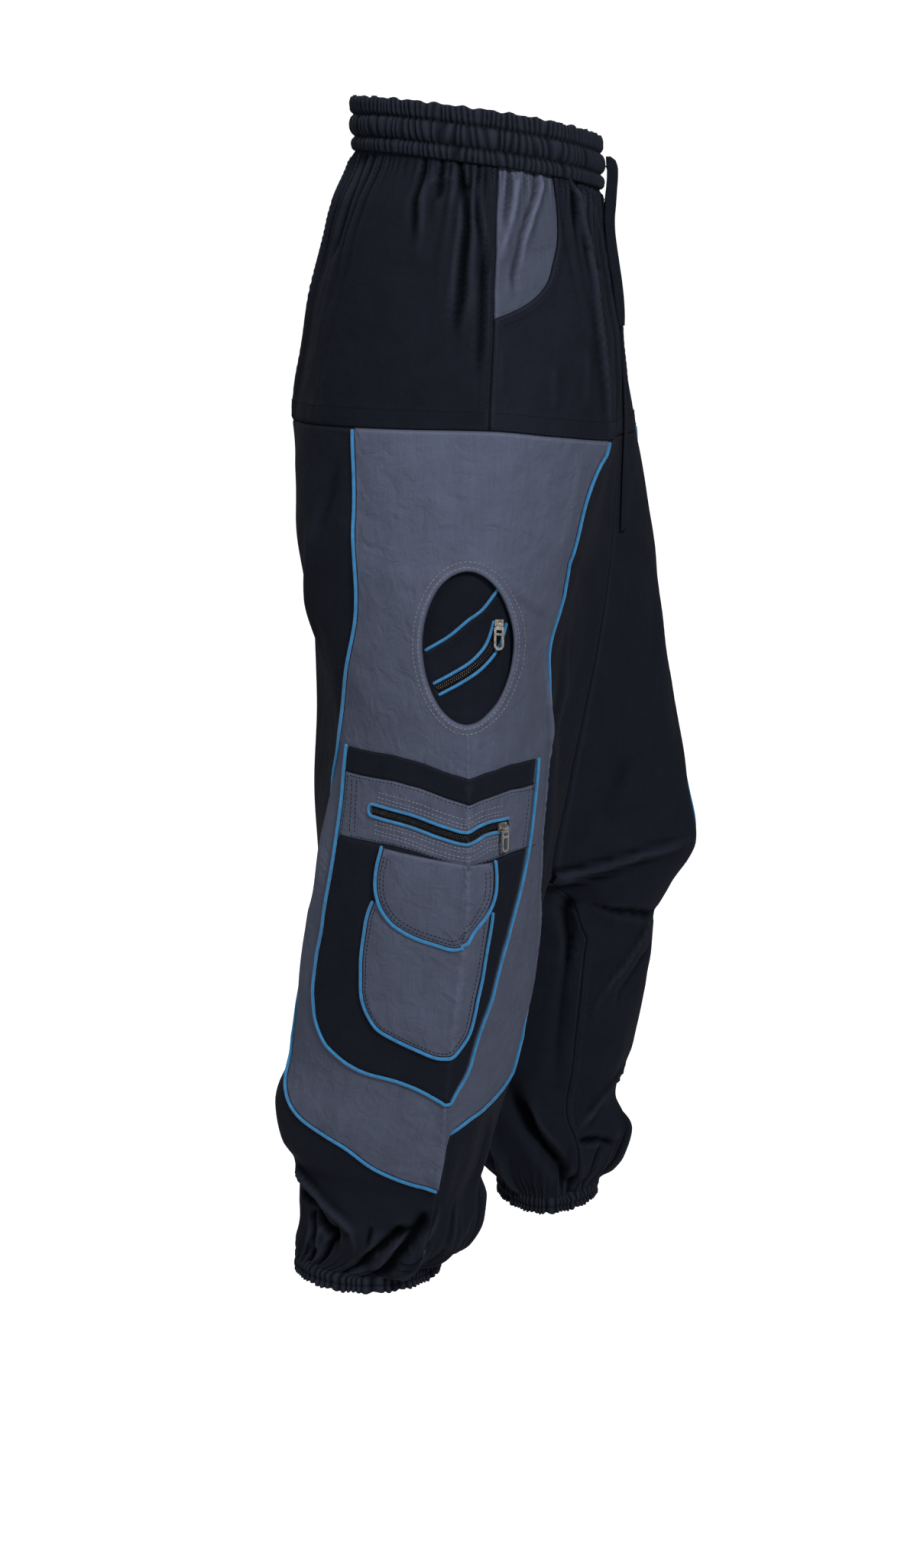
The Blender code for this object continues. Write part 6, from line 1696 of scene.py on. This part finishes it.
def tooth_rows(name, line, place):
    """The two meshed rows of a zip's teeth beside a flat line; `place` gives points and outward directions."""
    parts = []
    for sign, first in TOOTH_STARTS:
        points, normals = place(finely(beside(line, sign * TOOTH_ASIDE), 1.0))
        where, along, _ = run_along(points, TOOTH_PITCH, first)
        near = np.clip(np.searchsorted(runs_of(points), np.arange(len(where)) * TOOTH_PITCH), 0, len(normals) - 1)
        parts.append((where + normals[near] * TOOTH_LIFT, along, normals[near]))
    piece = turned_out(spread_copies(name, "tooth", *(np.concatenate(part) for part in zip(*parts))))
    finish_piece(piece, plain_finish("zip teeth", colour_of("teeth"), 0.38, 1.0, 0.12))


class PANTS_OT_zips(bpy.types.Operator):
    """Zip tapes, teeth and the piping beside them; the sliders and pulls get their metal"""
    bl_idname = "pants.zips"
    bl_label = "Zips"

    def execute(self, context):
        line, inner_line = through(ZIP_LINE, 40), through(INNER_ZIP_LINE, 30)
        cord_height = LAYER + ZIP_PIPING_RADIUS * 0.7
        side_layer("zip_tape", "black", tidy_outline(slot_line(line, ZIP_TAPE_HALF, 0.0)), LAYER, size=2.5)
        tooth_rows("zip_teeth_metal", line, lambda flat: side_spots(flat, LAYER))
        bag_layer("inner_zip_tape", tidy_outline(slot_line(inner_line, ZIP_TAPE_HALF, 0.0)), LAYER_GAP, size=2.5)
        tooth_rows("inner_zip_teeth_metal", inner_line,
                   lambda flat: (bag_place(*flat.T, LAYER), bag_normals(*flat.T, LAYER)))
        for name, move in (("upper", -ZIP_HALF_GAP), ("lower", ZIP_HALF_GAP)):
            side_cord(f"zip_piping_{name}", beside(line, move), cord_height, ZIP_PIPING_RADIUS, 2.0, 10)
            points = bag_place(*finely(beside(inner_line, move), 2.0).T, cord_height)
            round_cord(f"inner_zip_piping_{name}", points, ZIP_PIPING_RADIUS, 10)
        # the two cords meet round the rear end of the zip
        ahead = (line[0] - line[1]) / np.linalg.norm(line[0] - line[1])
        aside = np.array((-ahead[1], ahead[0]))
        turn = np.radians(np.linspace(-90, 90, 15))[:, None]
        bow = line[0] + ZIP_HALF_GAP * (ahead * np.cos(turn) * 0.7 + aside * np.sin(turn))
        side_cord("zip_piping_end", bow, cord_height, ZIP_PIPING_RADIUS, 2.0, 10, stands_for_node=False)
        metal = plain_finish("antique steel", colour_of("metal"), 0.42, 1.0, 0.1, 0.00004)
        for name in ("zip_slider", "zip_pull", "inner_zip_slider", "inner_zip_pull"):
            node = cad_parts[name]
            node.data.materials.clear()
            node.data.materials.append(metal)
        return {"FINISHED"}


# Rows of stitches, as distances from the hem, mouth, seam, hole or zip that they follow
HEM_ROWS, MOUTH_ROWS, SEAM_ROWS, HOLE_ROWS = (3.0, 15.5), (3.5, 8.0), (1.2, 4.0), (3.5, 8.0)
ZIP_ROWS = (-9.0, 9.0, -12.0, 12.0, -16.5, 16.5, 19.5)
PATCH_ROWS, FLAP_ROWS = (4.8,), (4.8, 8.0)
INNER_EDGE_ROWS, INNER_ZIP_ROWS = (5.0, 8.5), (-8.6, 8.6)


class PANTS_OT_topstitching(bpy.types.Operator):
    """The rows of topstitching along hems, seams and pockets"""
    bl_idname = "pants.topstitching"
    bl_label = "Topstitching"

    def execute(self, context):
        for side, label in SIDES:
            rows = StitchLines()
            for lift in HEM_ROWS:
                for start, end in ((CENTRE_FRONT + 1, SIDE_SEAM - 1), (SIDE_SEAM + 1, CENTRE_BACK - 1)):
                    rows.on_cloth(side, hem_line(start, end, lift), 0.75)
            for inward in MOUTH_ROWS:
                line = beside(mouth_line() * FLAT, -inward) / FLAT
                keep = (line[:, 0] < SIDE_SEAM - 1.5) & (line[:, 1] < YOKE_TOP - 1.5)
                rows.on_cloth(side, line[keep], 0.65)
            for past in SEAM_ROWS:
                rows.on_cloth(side, column(SIDE_SEAM + past, -26, -243), 0.1)
            front, back = panel_seams(side, -3.4)
            for seam in (back, front):
                rows.on_cloth(side, seam[1:-2], STITCH_LIFT)
            rows.make(f"hip_stitches_{label}")

        rows, pale = StitchLines(), StitchLines()
        for grow in HOLE_ROWS:
            oval = oval_line(grow)
            pale.on_side(np.concatenate([oval, oval[:1]]), 0.35)
        on_pocket = LAYER + STITCH_LIFT
        rows.on_side(beside(cargo_outline(), -4.6)[4:-4], on_pocket)
        for drop in (2.2, STRIP_DEPTH - 2.0, STRIP_DEPTH + 2.6, ZIP_PANEL_DEPTH - 2.0):
            rows.on_side(lowered(strip_top(-3.5), drop), on_pocket)
        line = through(ZIP_LINE, 40)
        for move in ZIP_ROWS:
            pale.on_side(beside(line, move)[1:-1], on_pocket)
        pale.make("zip_panel_stitches", "grey_thread")
        for y in (82, 87):
            rows.on_side(((y, -546), (y + 3, -594)), on_pocket)
        for line, number, inset in ((PATCH, 2, PATCH_ROWS), (FLAP, 3, FLAP_ROWS)):
            edge = through(line, 80)
            for inward in inset:
                rows.on_side(beside(edge, -inward)[2:-2], number * LAYER + 0.35)
        rows.make("side_pocket_stitches")

        rows = StitchLines()
        for move in INNER_EDGE_ROWS:
            rows.in_bag(beside(through(INNER_EDGE, 40), move), slice(2, -2))
        for move in INNER_ZIP_ROWS:
            rows.in_bag(beside(through(INNER_ZIP_LINE, 30), move), slice(2, -4))
        rows.make("inner_pocket_stitches")
        return {"FINISHED"}


# Half of the tape's cross-section, as shares of its width and thickness; the other half is turned about
TAPE_SECTION = ((-0.5, 0.0), (-0.48, -0.35), (-0.42, -0.5), (-0.2, -0.5), (0.0, -0.46), (0.2, -0.5), (0.42, -0.5),
                (0.48, -0.35))


def flat_tape(node, path, face):
    """A woven flat tape with rounded edges along a path, its flat side towards `face`."""
    along = unit(np.gradient(path, axis=0))
    width = unit(np.cross(face, along))
    out = np.cross(along, width)
    section = TAPE_SECTION + tuple((-a, -b) for a, b in TAPE_SECTION)
    rings = np.stack([path + width * TAPE_WIDE * a + out * TAPE_THICK * b for a, b in section], 1)
    count, sides = rings.shape[:2]
    ends, walls = tube_faces(count, sides)
    runs = runs_of(path)
    across = np.array([a for a, _ in section]) * TAPE_WIDE
    uv = np.stack([np.tile(across, count), np.repeat(runs, sides)], 1) * MM
    piece = turned_out(new_mesh_object(f"{node}_tape", rings.reshape(-1, 3), ends + walls, uv, np.zeros(count * sides)))
    finish_piece(piece, cloth("black"), [node])


class PANTS_OT_drawstring(bpy.types.Operator):
    """The two free ends of the flat drawstring"""
    bl_idname = "pants.drawstring"
    bl_label = "Drawstring"

    def execute(self, context):
        near = through(NEAR_END, 60, spread=3)
        turned = np.radians(near[:, 3])
        face = np.stack([-np.cos(turned), -np.sin(turned), np.zeros(len(near))], 1)
        flat_tape("drawstring_right", near[:, :3], face)
        on_cloth = np.array(FAR_END, float)
        front_x = smooth_rows(SECTIONS[LEFT], on_cloth[:, 1])[:, 0]
        phi = CENTRE_FRONT * (1 - on_cloth[:, 0] / front_x)
        faced = outward(LEFT, phi, on_cloth[:, 1])
        push = np.maximum(drape(LEFT, phi, on_cloth[:, 1]), 0)
        laid = skin(LEFT, phi, on_cloth[:, 1]) + faced * (TAPE_LIFT + push)[:, None]
        rows = np.concatenate([np.concatenate([FAR_EXIT, np.tile((0, -1, 0), (len(FAR_EXIT), 1))], 1),
                               np.concatenate([laid, faced], 1)])
        far = through(rows, 90, spread=3)
        flat_tape("drawstring_left", far[:, :3], far[:, 3:])
        return {"FINISHED"}


OPERATORS = (PANTS_OT_stage, PANTS_OT_waistband, PANTS_OT_yokes, PANTS_OT_side_panels, PANTS_OT_legs, PANTS_OT_ankles,
             PANTS_OT_side_pipings, PANTS_OT_inner_pocket, PANTS_OT_cargo_pocket, PANTS_OT_zips,
             PANTS_OT_topstitching, PANTS_OT_drawstring)


class PANTS_PT_sidebar(bpy.types.Panel):
    """Lists the pants' pieces and settings"""
    bl_idname = "PANTS_PT_sidebar"
    bl_label = "Harem pants"
    bl_space_type = "VIEW_3D"
    bl_region_type = "UI"
    bl_category = "Pants"

    def draw(self, context):
        layout = self.layout
        for group in (context.scene.pants_colours, context.scene.pants_sizes, context.scene.pants_stage):
            for name in group.bl_rna.properties.keys():
                if name not in ("rna_type", "name"):
                    layout.prop(group, name)
        for operator in OPERATORS:
            layout.operator(operator.bl_idname)


GROUPS = (("pants_colours", PantsColours), ("pants_sizes", PantsSizes), ("pants_stage", StageSizes))


def register():
    for name, group in GROUPS:
        bpy.utils.register_class(group)
        setattr(bpy.types.Scene, name, bpy.props.PointerProperty(type=group))
    for operator in OPERATORS:
        bpy.utils.register_class(operator)
    bpy.utils.register_class(PANTS_PT_sidebar)


def unregister():
    bpy.utils.unregister_class(PANTS_PT_sidebar)
    for operator in reversed(OPERATORS):
        bpy.utils.unregister_class(operator)
    for name, group in reversed(GROUPS):
        delattr(bpy.types.Scene, name)
        bpy.utils.unregister_class(group)


def plain(box):
    return [[float(value) for value in corner] for corner in box]


def main():
    register()
    for operator in OPERATORS:
        getattr(bpy.ops.pants, operator.bl_idname.split(".")[1])()


if __name__ == "__main__":
    main()
